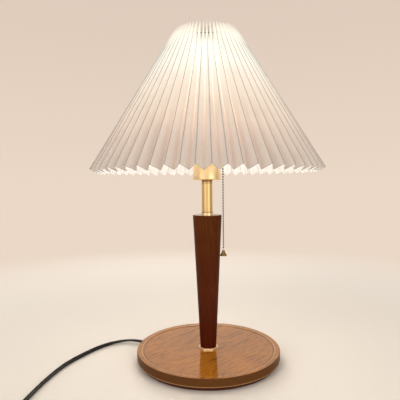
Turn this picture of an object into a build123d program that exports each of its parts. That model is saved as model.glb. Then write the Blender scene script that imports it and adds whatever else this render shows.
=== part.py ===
from build123d import *
import math
import os

# Pleated table lamp: a turned wooden foot and tapered post, a brass lamp holder with a pull chain,
# a pleated shade on a wire carrier, an opal bulb and a flat twin cord with its plug.
# Millimetres, +Z up, origin on the table under the lamp's axis, front of the lamp towards -Y.

# Base: felt pad, wooden disc with a raised lip round a shallow tray
pad_thickness = 1.0
pad_margin = 5.0
base_radius = 110.0
base_thickness = 18.0
undercut_rise = 6.0
undercut_run = 5.0
lip_width = 8.5
lip_bevel = 0.8
tray_depth = 1.2
cavity_radius = 22.0
cavity_depth = 12.0
channel_width = 9.0
channel_rise = 4.5

# Tie rod that clamps base, post, neck and holder cup together
rod_radius = 5.0
rod_bore_radius = 3.5
rod_clearance = 0.2
rod_spare = 0.5
washer_radius = 15.0
washer_thickness = 1.5
nut_across_flats = 15.0
nut_thickness = 4.0

# Post and neck
foot_ring_radius = 15.0
foot_ring_thickness = 2.4
foot_ring_bevel = 0.8
post_length = 204.7
post_foot_radius = 12.35
post_head_radius = 22.3
post_edge_bevel = 0.8
collar_radius = 9.3
collar_height = 3.6
neck_radius = 8.3
neck_length = 49.5

# Lamp holder
cup_radius = 21.4
cup_height = 46.0
cup_wall = 1.0
cup_floor = 1.2
cup_edge_round = 2.0
holder_clearance = 0.15
switch_gap = 1.7
switch_bore_radius = 6.5
switch_bore_depth = 9.0
seat_thickness = 4.0
spigot_length = 4.0
sleeve_radius = 19.5
sleeve_bore_radius = 15.0
sleeve_length = 24.0
flange_radius = 25.0
flange_thickness = 2.0
screw_shell_radius = 14.2
screw_shell_wall = 0.6
screw_shell_height = 26.0
screw_shell_hole_radius = 7.0
contact_radius = 4.0
contact_thickness = 1.0
contact_crown = 1.0

# Bulb
bulb_seat_gap = 0.1
bulb_contact_radius = 4.5
bulb_contact_height = 2.0
bulb_cap_radius = 13.1
bulb_cap_height = 24.0
bulb_cap_cone = 3.0
bulb_cap_cone_radius = 8.0
globe_radius = 30.0
globe_neck_radius = 12.6
globe_neck_length = 5.0
globe_height = 82.0
globe_wall = 0.8
globe_sides = 32

# Pull chain and its guide
chain_azimuth = -30.0
chain_reach = 5.8
guide_drop = 13.0
guide_radius = 3.5
guide_bore_radius = 2.0
guide_mouth_below_neck = 10.0
guide_crown = 5.0
guide_roof = 1.5
guide_neck_radius = 2.5
guide_neck_bore_radius = 1.7
guide_flange_radius = 4.2
guide_flange_thickness = 1.4
guide_nut_across_flats = 8.0
guide_nut_thickness = 2.0
guide_thread_spare = 0.6
bead_radius = 1.25
bead_pitch = 3.95
bead_sides = 8
bead_wire_radius = 0.35
bead_gap = 0.2
beads_hanging = 32
beads_in_guide = 3
pivot_below_mouth = 2.5
bell_radius = 5.3
bell_neck_radius = 2.1
bell_height = 8.6
bell_wall = 0.8
bell_hollow = 2.3
bell_waist_drop = 4.7
bell_waist_radius = 3.4
bell_skirt = 1.3

# Pleated shade
pleat_count = 60
shade_top_radius = 48.0
shade_bottom_radius = 175.0
shade_drop = 208.0
pleat_width = 15.65
sheet_thickness = 0.5
pleat_above_ring = 18.2

# Wire carrier and lacing
carrier_height = 158.2
carrier_arm_count = 3
carrier_arm_azimuth = 30.0
arm_wire_radius = 1.25
arm_bend = 8.0
ring_wire_radius = 1.5
ring_seat_gap = 0.3
fitter_thickness = 1.2
fitter_clearance = 0.4
ring_nut_height = 5.8
ring_nut_margin = 0.5
lacing_thickness = 1.2
lacing_depth_share = 0.45

# Cord, strain relief, coil and plug
cord_azimuth = 155.0
cord_diameter = 6.6
cord_sides = 6
gland_inside = 16.0
gland_outside = 8.25
gland_radius = 4.35
gland_tip_radius = 3.8
lead_radius = 1.1
lead_spread = 1.4
lead_bend = 5.0
lead_drop = 1.0
first_run = 14.0
cord_points = [
    (-133.5, 61.3, 4.8),
    (-150.0, 60.0, 3.8),
    (-168.0, 49.0, 3.3),
    (-184.5, 29.0, 3.3),
    (-198.5, 3.0, 3.3),
    (-209.5, -20.5, 3.3),
    (-217.0, -44.5, 3.3),
    (-222.0, -74.0, 3.3),
    (-225.3, -105.0, 3.3),
    (-226.9, -139.5, 3.6),
]
last_run = 28.0
coil_left = -227.5
coil_middle_y = -212.0
coil_turn_radius = 48.0
coil_pitch = 7.1
coil_half_turns = 6
tie_width = 8.0
tie_thickness = 0.6
tie_clearance = 0.5
tail_run = 16.0
tail_drop_run = 30.0
plug_length = 36.0
plug_width = 35.0
plug_rear_width = 15.0
plug_thickness = 13.7
plug_shoulder = 14.0
plug_bevel = 2.0
pin_radius = 2.0
pin_length = 19.0
pin_spacing = 19.0
pin_tip_bevel = 0.8

# Heights that follow from the stack
base_bottom = pad_thickness
base_top = base_bottom + base_thickness
tray_top = base_top - tray_depth
foot_radius = base_radius - undercut_run
cavity_top = base_bottom + cavity_depth
channel_z = base_bottom + channel_rise
rod_hole_radius = rod_radius + rod_clearance
post_bottom = tray_top + foot_ring_thickness
post_top = post_bottom + post_length
collar_top = post_top + collar_height
neck_top = collar_top + neck_length
cup_bottom = neck_top
cup_top = cup_bottom + cup_height
cup_inner_radius = cup_radius - cup_wall
lock_nut_bottom = cup_bottom + cup_floor
lock_nut_top = lock_nut_bottom + nut_thickness
rod_nut_top = cavity_top - washer_thickness
rod_nut_bottom = rod_nut_top - nut_thickness
rod_bottom = rod_nut_bottom - rod_spare
rod_top = lock_nut_top + rod_spare
seat_top = cup_top - spigot_length
seat_bottom = seat_top - seat_thickness
flange_top = cup_top + flange_thickness
sleeve_top = flange_top + sleeve_length
switch_radius = cup_inner_radius - switch_gap
contact_top = seat_top + contact_thickness + contact_crown
bulb_bottom = contact_top + bulb_seat_gap
bulb_cap_bottom = bulb_bottom + bulb_contact_height
bulb_cap_top = bulb_cap_bottom + bulb_cap_height

# Pull chain places
chain_radius = max(cup_radius, post_head_radius) + chain_reach
guide_neck_z = cup_top - guide_drop
guide_mouth_z = guide_neck_z - guide_mouth_below_neck
pivot_z = guide_mouth_z - pivot_below_mouth
bell_top = pivot_z - beads_hanging * bead_pitch

# Shade places
fitter_top = flange_top + fitter_thickness
ring_z = fitter_top - fitter_thickness / 2 + carrier_height
shade_top = ring_z + pleat_above_ring
shade_flare = shade_bottom_radius - shade_top_radius
shade_slant = math.hypot(shade_flare, shade_drop)
half_pleat = math.pi / pleat_count

# Cord places
cord_radius = cord_diameter / 2
gland_start = foot_radius + undercut_run * channel_rise / undercut_rise - gland_inside
gland_end = gland_start + gland_inside + gland_outside
coil_z = tie_thickness + tie_clearance + cord_radius
plug_z = plug_thickness / 2


def turned(outline):
    """Solid of revolution about Z from a closed (radius, height) outline."""
    wire = Polyline(*[(radius, 0, height) for radius, height in outline], close=True)
    return revolve(make_face(wire), Axis.Z)


def tube(outer, inner, bottom, top):
    """Plain tube about Z."""
    return turned([(inner, bottom), (outer, bottom), (outer, top), (inner, top)])


def soften(solid, edge_radius, height, bevel):
    """Bevel one circular edge of a turned solid, found by its radius and height."""
    edges = [
        edge
        for edge in solid.edges().filter_by(GeomType.CIRCLE)
        if abs(edge.radius - edge_radius) < 0.01 and abs(edge.arc_center.Z - height) < 0.01
    ]
    return chamfer(edges, bevel)


def quarter_round(radius, height, size):
    """Lower outer corner of a turned outline, eased in three steps from its underside to its side."""
    steps = [math.radians(angle) for angle in (0, 30, 60, 90)]
    return [
        (radius - size + size * math.sin(a), height + size - size * math.cos(a)) for a in steps
    ]


def faceted(outline, sides):
    """Flat-sided solid: an open (radius, height) outline stepped round Z and capped at both ends."""
    steps = [2 * math.pi * k / sides for k in range(sides)]
    rings = [
        [Vector(radius * math.cos(a), radius * math.sin(a), height) for a in steps]
        for radius, height in outline
    ]
    faces = [Face(Wire.make_polygon(rings[0])), Face(Wire.make_polygon(rings[-1]))]
    for low, high in zip(rings, rings[1:]):
        for k in range(sides):
            after = (k + 1) % sides
            corners = [low[k], low[after], high[after], high[k]]
            faces.append(Face(Wire.make_polygon(corners)))
    return Solid(Shell(faces))


def hex_nut(across_flats, bore_radius, thickness):
    """Hexagon nut standing on the XY plane."""
    blank = extrude(RegularPolygon(across_flats / 2, 6, major_radius=False), thickness)
    return blank - Cylinder(bore_radius, 3 * thickness)


def along(path, section_sketch):
    """Sweep a section, drawn about its own origin, along a path."""
    return sweep(Plane(origin=path @ 0, z_dir=path % 0) * section_sketch, path)


def spoke(azimuth, height):
    """Frame whose Z runs outwards along a spoke at the given azimuth and height."""
    return Rot(0, 0, azimuth) * Pos(0, 0, height) * Rot(0, 90, 0)


# Base and tie rod


def make_base_disc():
    lip_inner = base_radius - lip_width
    disc = turned(
        [
            (rod_hole_radius, cavity_top),
            (cavity_radius, cavity_top),
            (cavity_radius, base_bottom),
            (foot_radius, base_bottom),
            (base_radius, base_bottom + undercut_rise),
            (base_radius, base_top),
            (lip_inner, base_top),
            (lip_inner, tray_top),
            (rod_hole_radius, tray_top),
        ]
    )
    disc = soften(disc, base_radius, base_top, lip_bevel)
    disc = soften(disc, lip_inner, base_top, lip_bevel)
    round_top = spoke(cord_azimuth, channel_z) * Cylinder(
        channel_width / 2, 2 * base_radius, align=(Align.CENTER, Align.CENTER, Align.MIN)
    )
    slot = Rot(0, 0, cord_azimuth) * Box(
        2 * base_radius, channel_width, channel_z, align=(Align.MIN, Align.CENTER, Align.MIN)
    )
    return disc - round_top - slot


def make_base_felt_pad():
    return Cylinder(
        foot_radius - pad_margin,
        pad_thickness,
        align=(Align.CENTER, Align.CENTER, Align.MIN),
    )


def make_rod_washer():
    return tube(washer_radius, rod_hole_radius, rod_nut_top, cavity_top)


def make_rod_nut():
    return Pos(0, 0, rod_nut_bottom) * hex_nut(nut_across_flats, rod_radius, nut_thickness)


def make_threaded_rod():
    return tube(rod_radius, rod_bore_radius, rod_bottom, rod_top)


# Post and neck


def make_post_foot_ring():
    ring = tube(foot_ring_radius, rod_hole_radius, tray_top, post_bottom)
    return soften(ring, foot_ring_radius, post_bottom, foot_ring_bevel)


def make_tapered_post():
    post = turned(
        [
            (rod_hole_radius, post_bottom),
            (post_foot_radius, post_bottom),
            (post_head_radius, post_top),
            (rod_hole_radius, post_top),
        ]
    )
    return soften(post, post_head_radius, post_top, post_edge_bevel)


def make_neck_collar():
    return tube(collar_radius, rod_hole_radius, post_top, collar_top)


def make_neck_tube():
    return tube(neck_radius, rod_hole_radius, collar_top, neck_top)


# Lamp holder


def make_holder_cup():
    cup = turned(
        [
            (rod_hole_radius, cup_bottom),
            *quarter_round(cup_radius, cup_bottom, cup_edge_round),
            (cup_radius, cup_top),
            (cup_inner_radius, cup_top),
            (cup_inner_radius, lock_nut_bottom + cup_edge_round - cup_wall),
            (cup_inner_radius - cup_edge_round + cup_wall, lock_nut_bottom),
            (rod_hole_radius, lock_nut_bottom),
        ]
    )
    guide_hole = spoke(chain_azimuth, guide_neck_z) * Cylinder(
        guide_neck_radius + holder_clearance,
        2 * cup_radius,
        align=(Align.CENTER, Align.CENTER, Align.MIN),
    )
    return cup - guide_hole


def make_cup_lock_nut():
    return Pos(0, 0, lock_nut_bottom) * hex_nut(nut_across_flats, rod_radius, nut_thickness)


def make_switch_box():
    box = turned(
        [
            (switch_bore_radius, lock_nut_top),
            (switch_radius, lock_nut_top),
            (switch_radius, seat_bottom),
            (0, seat_bottom),
            (0, lock_nut_top + switch_bore_depth),
            (switch_bore_radius, lock_nut_top + switch_bore_depth),
        ]
    )
    pocket_side = guide_nut_across_flats * 1.5
    pocket_floor = guide_neck_z - pocket_side / 2
    pocket_inner = guide_thread_end() - guide_thread_spare
    pocket = (
        Rot(0, 0, chain_azimuth)
        * Pos(pocket_inner, 0, pocket_floor)
        * Box(
            switch_radius,
            pocket_side,
            seat_bottom - pocket_floor,
            align=(Align.MIN, Align.CENTER, Align.MIN),
        )
    )
    return box - pocket


def make_holder_seat():
    seat_radius = cup_inner_radius - holder_clearance
    return tube(seat_radius, 0, seat_bottom, seat_top)


def make_holder_sleeve():
    spigot_radius = cup_inner_radius - holder_clearance
    return turned(
        [
            (sleeve_bore_radius, seat_top),
            (spigot_radius, seat_top),
            (spigot_radius, cup_top),
            (flange_radius, cup_top),
            (flange_radius, flange_top),
            (sleeve_radius, flange_top),
            (sleeve_radius, sleeve_top),
            (sleeve_bore_radius, sleeve_top),
        ]
    )


def make_screw_shell():
    inner = screw_shell_radius - screw_shell_wall
    return turned(
        [
            (screw_shell_hole_radius, seat_top),
            (screw_shell_radius, seat_top),
            (screw_shell_radius, seat_top + screw_shell_height),
            (inner, seat_top + screw_shell_height),
            (inner, seat_top + screw_shell_wall),
            (screw_shell_hole_radius, seat_top + screw_shell_wall),
        ]
    )


def make_centre_contact():
    crown_foot = seat_top + contact_thickness
    return turned(
        [
            (0, seat_top),
            (contact_radius, seat_top),
            (contact_radius, crown_foot),
            (contact_radius / 2, contact_top),
            (0, contact_top),
        ]
    )


# Bulb


def make_bulb_contact():
    return turned(
        [
            (0, bulb_bottom),
            (bulb_contact_radius / 2, bulb_bottom),
            (bulb_contact_radius, bulb_cap_bottom),
            (0, bulb_cap_bottom),
        ]
    )


def make_bulb_cap():
    return turned(
        [
            (0, bulb_cap_bottom),
            (bulb_cap_cone_radius, bulb_cap_bottom),
            (bulb_cap_radius, bulb_cap_bottom + bulb_cap_cone),
            (bulb_cap_radius, bulb_cap_top),
            (0, bulb_cap_top),
        ]
    )


def globe_outline(inset):
    """Neck, flare and ball of the bulb as (radius, height) points, drawn in by the inset."""
    ball = globe_radius - inset
    neck = globe_neck_radius - inset
    centre_z = bulb_cap_top + globe_height - globe_radius
    flare_start = bulb_cap_top + globe_neck_length
    join = math.radians(-28)
    crown = math.radians(80)
    ball_steps = 9
    flare_steps = 3
    outline = [(neck, bulb_cap_top), (neck, flare_start)]
    join_r = ball * math.cos(join)
    join_z = centre_z + ball * math.sin(join)
    for k in range(1, flare_steps):
        share = k / flare_steps
        swell = share**1.4
        outline.append((neck + (join_r - neck) * swell, flare_start + (join_z - flare_start) * share))
    for k in range(ball_steps + 1):
        angle = join + (crown - join) * k / ball_steps
        outline.append((ball * math.cos(angle), centre_z + ball * math.sin(angle)))
    return outline


def make_bulb_globe():
    return faceted(globe_outline(0), globe_sides) - faceted(globe_outline(globe_wall), globe_sides)


# Pull chain and its guide


def guide_thread_end():
    """Radius, from the lamp's axis, where the guide's threaded neck ends inside the cup."""
    return nut_face() - guide_nut_thickness - guide_thread_spare


def nut_face():
    """Radius of the flat nut face whose corners just clear the inside of the cup."""
    half_corner = guide_nut_across_flats / math.sqrt(3)
    return math.sqrt(cup_inner_radius**2 - half_corner**2) - holder_clearance


def chain_place():
    return Rot(0, 0, chain_azimuth) * Pos(chain_radius, 0, 0)


def make_chain_guide():
    crown = guide_neck_z + guide_crown
    barrel = chain_place() * turned(
        [
            (0, guide_mouth_z),
            (guide_radius, guide_mouth_z),
            (guide_radius, crown - guide_roof),
            (guide_bore_radius, crown),
            (0, crown),
        ]
    )
    reach = chain_radius - guide_thread_end()
    inwards = spoke(chain_azimuth, guide_neck_z) * Pos(0, 0, guide_thread_end())
    to_centre = (Align.CENTER, Align.CENTER, Align.MIN)
    neck = inwards * Cylinder(guide_neck_radius, reach, align=to_centre)
    flange = (
        spoke(chain_azimuth, guide_neck_z)
        * Pos(0, 0, cup_radius)
        * Cylinder(guide_flange_radius, guide_flange_thickness, align=to_centre)
    )
    bore = chain_place() * Pos(0, 0, guide_mouth_z) * Cylinder(
        guide_bore_radius, crown - guide_roof - guide_mouth_z, align=to_centre
    )
    neck_bore = inwards * Cylinder(guide_neck_bore_radius, reach, align=to_centre)
    return barrel + neck + flange - bore - neck_bore


def make_guide_nut():
    place = spoke(chain_azimuth, guide_neck_z) * Pos(0, 0, nut_face() - guide_nut_thickness)
    return place * hex_nut(guide_nut_across_flats, guide_neck_radius, guide_nut_thickness)


def bead_outline(height):
    """One bead of the chain, from below upwards, as (radius, height) points on a sphere."""
    belt = math.radians(22.5)
    belt_radius = bead_radius * math.cos(belt)
    belt_rise = bead_radius * math.sin(belt)
    end_rise = math.sqrt(bead_radius**2 - bead_wire_radius**2)
    return [
        (bead_wire_radius, height - end_rise),
        (belt_radius, height - belt_rise),
        (belt_radius, height + belt_rise),
        (bead_wire_radius, height + end_rise),
    ]


def bead_string(first, count):
    """Outline of beads counted downwards from the swing pivot, listed from below upwards."""
    outline = []
    for k in reversed(range(first, first + count)):
        outline += bead_outline(pivot_z - k * bead_pitch)
    return outline


def hung_from(bead):
    """Top of the wire that hangs below a bead with a free gap, so that it can swing about it."""
    return (bead_wire_radius, pivot_z - bead * bead_pitch - bead_radius - bead_gap)


def make_chain_head():
    return chain_place() * faceted(bead_string(-beads_in_guide, beads_in_guide + 1), bead_sides)


def make_chain_link():
    return chain_place() * faceted(bead_string(1, 1) + [hung_from(0)], bead_sides)


def make_pull_chain():
    foot = [(bead_wire_radius, bell_top)]
    beads = bead_string(2, beads_hanging - 2)
    return chain_place() * faceted(foot + beads + [hung_from(1)], bead_sides)


def make_pull_bell():
    rim = bell_top - bell_height
    return chain_place() * turned(
        [
            (0, bell_top),
            (bell_neck_radius, bell_top),
            (bell_waist_radius, bell_top - bell_waist_drop),
            (bell_radius, rim + bell_skirt),
            (bell_radius, rim),
            (bell_radius - bell_wall, rim),
            (bell_waist_radius, rim + bell_hollow),
            (0, rim + bell_hollow),
        ]
    )


# Pleated shade: straight folds run down the slant, each panel the same width at top and hem


def pleat_depth(radius):
    """Depth of the pleats, square to the slant, where the outer folds stand at this radius."""
    opening = 1 - math.cos(half_pleat)
    lean = radius * shade_drop / shade_slant * opening
    return lean + math.sqrt(lean**2 + pleat_width**2 - 2 * radius**2 * opening)


def fold_place(radius, height, depth):
    """Radius and height of a point that lies this deep inside the line of the outer folds."""
    return (
        radius - depth * shade_drop / shade_slant,
        height - depth * shade_flare / shade_slant,
    )


def inner_fold_radius(height):
    """Radius of the inner folds' inside at a height."""
    thick = sheet_thickness / 2
    top = fold_place(shade_top_radius, shade_top, pleat_depth(shade_top_radius) + thick)
    hem_depth = pleat_depth(shade_bottom_radius) + thick
    hem = fold_place(shade_bottom_radius, shade_top - shade_drop, hem_depth)
    share = (top[1] - height) / (top[1] - hem[1])
    return top[0] + (hem[0] - top[0]) * share


def pleat_ring(radius, height, side):
    """Corners of one skin of the sheet round one end, two at each flat-topped fold and one at each valley.

    side is 1 for the outer skin and -1 for the inner one.
    """
    depth = pleat_depth(radius)
    rise = math.sqrt(pleat_width**2 - depth**2)
    cap_half = sheet_thickness * (pleat_width - rise) / (2 * depth)
    mitre = sheet_thickness * pleat_width / (2 * rise)
    cap_depth = -sheet_thickness / 2 if side > 0 else depth + sheet_thickness / 2
    valley_depth = depth - mitre if side > 0 else mitre
    cap_r, cap_z = fold_place(radius, height, cap_depth)
    valley_r, valley_z = fold_place(radius, height, valley_depth)
    corners = []
    for k in range(pleat_count):
        outer_fold = (2 * k + 1) * half_pleat
        cap_angle = outer_fold if side > 0 else outer_fold + half_pleat
        valley_angle = cap_angle + half_pleat
        turn = cap_half / cap_r
        for angle in (cap_angle - turn, cap_angle + turn):
            corners.append(Vector(cap_r * math.cos(angle), cap_r * math.sin(angle), cap_z))
        corners.append(
            Vector(valley_r * math.cos(valley_angle), valley_r * math.sin(valley_angle), valley_z)
        )
    return corners


def triangles_between(one, other):
    """Strip of triangles between two closed rings of equally many corners."""
    faces = []
    for k in range(len(one)):
        after = (k + 1) % len(one)
        faces.append(Face(Wire.make_polygon([one[k], one[after], other[after]])))
        faces.append(Face(Wire.make_polygon([one[k], other[after], other[k]])))
    return faces


def make_pleated_shade():
    hem = shade_top - shade_drop
    outer_top = pleat_ring(shade_top_radius, shade_top, 1)
    outer_hem = pleat_ring(shade_bottom_radius, hem, 1)
    inner_top = pleat_ring(shade_top_radius, shade_top, -1)
    inner_hem = pleat_ring(shade_bottom_radius, hem, -1)
    faces = triangles_between(outer_top, outer_hem) + triangles_between(inner_top, inner_hem)
    faces += edge_band(outer_top, inner_top) + edge_band(outer_hem, inner_hem)
    return Solid(Shell(faces))


def edge_band(outer, inner):
    """Cut edge of the sheet round one end, from the outer skin to the inner skin of the same pleats."""
    faces = []
    count = len(outer)
    for k in range(pleat_count):
        left, right, valley = outer[3 * k], outer[3 * k + 1], outer[3 * k + 2]
        following = outer[(3 * k + 3) % count]
        crest = inner[(3 * k - 1) % count]
        near, far = inner[3 * k], inner[3 * k + 1]
        faces.append(Face(Wire.make_polygon([left, right, crest])))
        faces.append(Face(Wire.make_polygon([right, valley, near])))
        faces.append(Face(Wire.make_polygon([right, near, crest])))
        faces.append(Face(Wire.make_polygon([near, far, valley])))
        next_crest = inner[3 * k + 2]
        faces.append(Face(Wire.make_polygon([valley, following, far])))
        faces.append(Face(Wire.make_polygon([far, following, next_crest])))
    return faces


def make_lacing_thread():
    """Thread drawn through all the pleats just outside the carrier's top ring."""
    inside = inner_fold_radius(ring_z)
    outside = shade_top_radius + shade_flare * pleat_above_ring / shade_drop
    radius = inside + (outside - inside) * lacing_depth_share
    half = lacing_thickness / 2
    return turned(
        [
            (radius - half, ring_z),
            (radius, ring_z - half),
            (radius + half, ring_z),
            (radius, ring_z + half),
        ]
    )


# Wire carrier


def ring_radius():
    """Centre radius of the top ring, which bears on the inner folds all round."""
    slope = shade_slant / shade_drop
    return inner_fold_radius(ring_z) - (ring_wire_radius + ring_seat_gap) * slope


def make_shade_top_ring():
    section = Pos(ring_radius(), 0, ring_z) * Rot(90, 0, 0) * RegularPolygon(ring_wire_radius, 8)
    return revolve(section, Axis.Z)


def make_shade_arms():
    arm_z = fitter_top - fitter_thickness / 2
    path = FilletPolyline(
        (flange_radius, 0, arm_z),
        (ring_radius(), 0, arm_z),
        (ring_radius(), 0, ring_z - ring_wire_radius),
        radius=arm_bend,
    )
    arm = along(path, RegularPolygon(arm_wire_radius, 8))
    step = 360 / carrier_arm_count
    arms = [Rot(0, 0, carrier_arm_azimuth + k * step) * arm for k in range(carrier_arm_count)]
    return Compound(children=arms)


def make_shade_fitter_ring():
    return tube(flange_radius, sleeve_radius + fitter_clearance, flange_top, fitter_top)


def make_shade_ring_nut():
    return tube(
        flange_radius - ring_nut_margin,
        sleeve_radius,
        fitter_top,
        fitter_top + ring_nut_height,
    )


# Cord with its strain relief, leads, coil, tie and plug


def make_cord_gland():
    shoulder = gland_start + gland_inside
    relief = turned(
        [
            (0, gland_start),
            (gland_radius, gland_start),
            (gland_radius, shoulder),
            (gland_tip_radius, gland_end),
            (0, gland_end),
        ]
    )
    return spoke(cord_azimuth, channel_z) * relief


def make_inner_leads():
    lead_z = channel_z - lead_drop
    lead_top = lock_nut_top + switch_bore_depth
    leads = []
    for side in (-lead_spread, lead_spread):
        path = FilletPolyline(
            (gland_start, side, lead_z),
            (0, side, lead_z),
            (0, side, lead_top),
            radius=lead_bend,
        )
        leads.append(Rot(0, 0, cord_azimuth) * along(path, RegularPolygon(lead_radius, 8)))
    return Compound(children=leads)


def cord_route():
    """The free stretch from the strain relief to the coil: exit, hand-picked points, coil's start."""
    out = Vector(math.cos(math.radians(cord_azimuth)), math.sin(math.radians(cord_azimuth)), 0)
    leave = out * gland_end + Vector(0, 0, channel_z)
    meet = Vector(coil_left, coil_middle_y + 2 * cord_diameter, coil_z)
    picked = [Vector(*point) for point in cord_points]
    return [leave, leave + out * first_run, *picked, meet + Vector(0, last_run, 0), meet]


def bend_radii(route):
    """Largest arc at each point: 0.45 of the shorter run over the tangent of half the turn."""
    radii = []
    for before, here, after in zip(route, route[1:], route[2:]):
        arrive = here - before
        leave = after - here
        half_turn = math.radians(arrive.get_angle(leave)) / 2
        shorter = min(arrive.length, leave.length)
        radii.append(0.45 * shorter / math.tan(half_turn))
    return radii


def cord_tube(name, route):
    """Cord along straight runs joined by tangent arcs, with its radii and volume printed."""
    radii = bend_radii(route)
    path = FilletPolyline(*route, radius=radii)
    section = RegularPolygon(cord_radius, cord_sides)
    solid = along(path, section)
    expected = section.area * path.length
    print(name, "bend radii", [round(radius) for radius in radii])
    print(name, "length", round(path.length, 1), "volume share", round(solid.volume / expected, 4))
    return solid


def make_cord_run():
    return cord_tube("cord_run", cord_route())


def coil_levels():
    """Heights of the coil's lower and upper layer."""
    return coil_z, coil_z + coil_pitch


def coil_arcs():
    """Half turns of the coil: spiral in on the lower layer, climb, spiral out on the upper one."""
    low, high = coil_levels()
    step = coil_pitch / 2
    radii_in = [coil_turn_radius - step * k for k in range(coil_half_turns)]
    climb_radius = coil_turn_radius - step * coil_half_turns
    radii_out = [coil_turn_radius - step * k for k in range(coil_half_turns - 1, 0, -1)]
    plan = [(radius, low, low) for radius in radii_in]
    plan.append((climb_radius, low, high))
    plan += [(radius, high, high) for radius in radii_out]
    arcs = []
    x = coil_left
    side = 1
    for radius, from_z, to_z in plan:
        end_x = x + side * 2 * radius
        middle_z = (from_z + to_z) / 2
        reach = math.hypot(radius, (to_z - from_z) / 2)
        arcs.append(
            ThreePointArc(
                (x, coil_middle_y, from_z),
                ((x + end_x) / 2, coil_middle_y - side * reach, middle_z),
                (end_x, coil_middle_y, to_z),
            )
        )
        x = end_x
        side = -side
    diagonal = coil_turn_radius * math.sqrt(0.5)
    centre_x = x + coil_turn_radius
    arcs.append(
        ThreePointArc(
            (x, coil_middle_y, high),
            (centre_x - diagonal, coil_middle_y - diagonal, high),
            (centre_x, coil_middle_y - coil_turn_radius, high),
        )
    )
    return arcs


def coil_exit():
    """Where the coil's outer end leaves it, heading along +X."""
    last = coil_arcs()[-1] @ 1
    return last + Vector(cord_diameter, 0, 0)


def coil_path():
    low = coil_levels()[0]
    lead_in = Line(
        (coil_left, coil_middle_y + 2 * cord_diameter, low), (coil_left, coil_middle_y, low)
    )
    arcs = coil_arcs()
    lead_out = Line(arcs[-1] @ 1, coil_exit())
    return Wire([lead_in, *arcs, lead_out])


def least_coil_gap(path):
    """Smallest clear distance between two passes of the coil, measured on points along it."""
    count = int(path.length / 2)
    points = [path @ (k / count) for k in range(count + 1)]
    apart = int(coil_turn_radius / 2)
    gap = min(
        (points[i] - points[j]).length
        for i in range(len(points))
        for j in range(i + apart, len(points))
    )
    return gap - cord_diameter


def make_cord_coil():
    path = coil_path()
    section = RegularPolygon(cord_radius, cord_sides)
    solid = along(path, section)
    expected = section.area * path.length
    print("cord_coil length", round(path.length, 1), "volume share", round(solid.volume / expected, 4))
    print("cord_coil least gap", round(least_coil_gap(path), 2))
    return solid


def make_coil_tie():
    """Flat band round all the turns at the right-hand side of the coil."""
    low, high = coil_levels()
    outer_x = coil_left + 2 * coil_turn_radius
    inner_x = outer_x - coil_half_turns * coil_pitch / 2
    wide = outer_x - inner_x + cord_diameter + 2 * tie_clearance
    tall = high - low + cord_diameter + 2 * tie_clearance
    window = Box(wide, 2 * tie_width, tall)
    band = Box(wide + 2 * tie_thickness, tie_width, tall + 2 * tie_thickness) - window
    return Pos((outer_x + inner_x) / 2, coil_middle_y, (low + high) / 2) * band


def tail_route():
    start = coil_exit()
    level = start + Vector(tail_run, 0, 0)
    down = Vector(level.X + tail_drop_run, level.Y, plug_z)
    return [start, level, down, down + Vector(tail_run, 0, 0)]


def make_cord_tail():
    return cord_tube("cord_tail", tail_route())


def make_plug_body():
    half_rear = plug_rear_width / 2
    half_front = plug_width / 2
    outline = Polyline(
        (0, -half_rear),
        (plug_shoulder, -half_front),
        (plug_length, -half_front),
        (plug_length, half_front),
        (plug_shoulder, half_front),
        (0, half_rear),
        close=True,
    )
    body = extrude(make_face(outline), plug_thickness)
    around = body.faces().sort_by(Axis.Z)[-1].edges() + body.faces().sort_by(Axis.Z)[0].edges()
    body = chamfer(around, plug_bevel)
    rear = tail_route()[-1]
    return Pos(rear.X, rear.Y, 0) * body


def make_plug_pins():
    rear = tail_route()[-1]
    pin = Cylinder(pin_radius, pin_length, align=(Align.CENTER, Align.CENTER, Align.MIN))
    pin = chamfer(pin.edges().sort_by(Axis.Z)[-1], pin_tip_bevel)
    pins = []
    for side in (-pin_spacing / 2, pin_spacing / 2):
        place = Pos(rear.X + plug_length, rear.Y + side, plug_z) * Rot(0, 90, 0)
        pins.append(place * pin)
    return Compound(children=pins)


makers = {
    "base_disc": make_base_disc,
    "base_felt_pad": make_base_felt_pad,
    "rod_washer": make_rod_washer,
    "rod_nut": make_rod_nut,
    "threaded_rod": make_threaded_rod,
    "post_foot_ring": make_post_foot_ring,
    "tapered_post": make_tapered_post,
    "neck_collar": make_neck_collar,
    "neck_tube": make_neck_tube,
    "holder_cup": make_holder_cup,
    "cup_lock_nut": make_cup_lock_nut,
    "switch_box": make_switch_box,
    "holder_seat": make_holder_seat,
    "holder_sleeve": make_holder_sleeve,
    "screw_shell": make_screw_shell,
    "centre_contact": make_centre_contact,
    "bulb_contact": make_bulb_contact,
    "bulb_cap": make_bulb_cap,
    "bulb_globe": make_bulb_globe,
    "chain_guide": make_chain_guide,
    "guide_nut": make_guide_nut,
    "chain_head": make_chain_head,
    "chain_link": make_chain_link,
    "pull_chain": make_pull_chain,
    "pull_bell": make_pull_bell,
    "pleated_shade": make_pleated_shade,
    "lacing_thread": make_lacing_thread,
    "shade_top_ring": make_shade_top_ring,
    "shade_arms": make_shade_arms,
    "shade_fitter_ring": make_shade_fitter_ring,
    "shade_ring_nut": make_shade_ring_nut,
    "cord_gland": make_cord_gland,
    "inner_leads": make_inner_leads,
    "cord_run": make_cord_run,
    "cord_coil": make_cord_coil,
    "coil_tie": make_coil_tie,
    "cord_tail": make_cord_tail,
    "plug_body": make_plug_body,
    "plug_pins": make_plug_pins,
}

os.makedirs("parts", exist_ok=True)
for node, make in makers.items():
    export_step(make(), f"parts/{node}.step")
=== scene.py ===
import math
import random

import bmesh
import bpy
from bpy.props import FloatProperty, FloatVectorProperty, IntProperty, PointerProperty
from mathutils import Matrix, Vector


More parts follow.
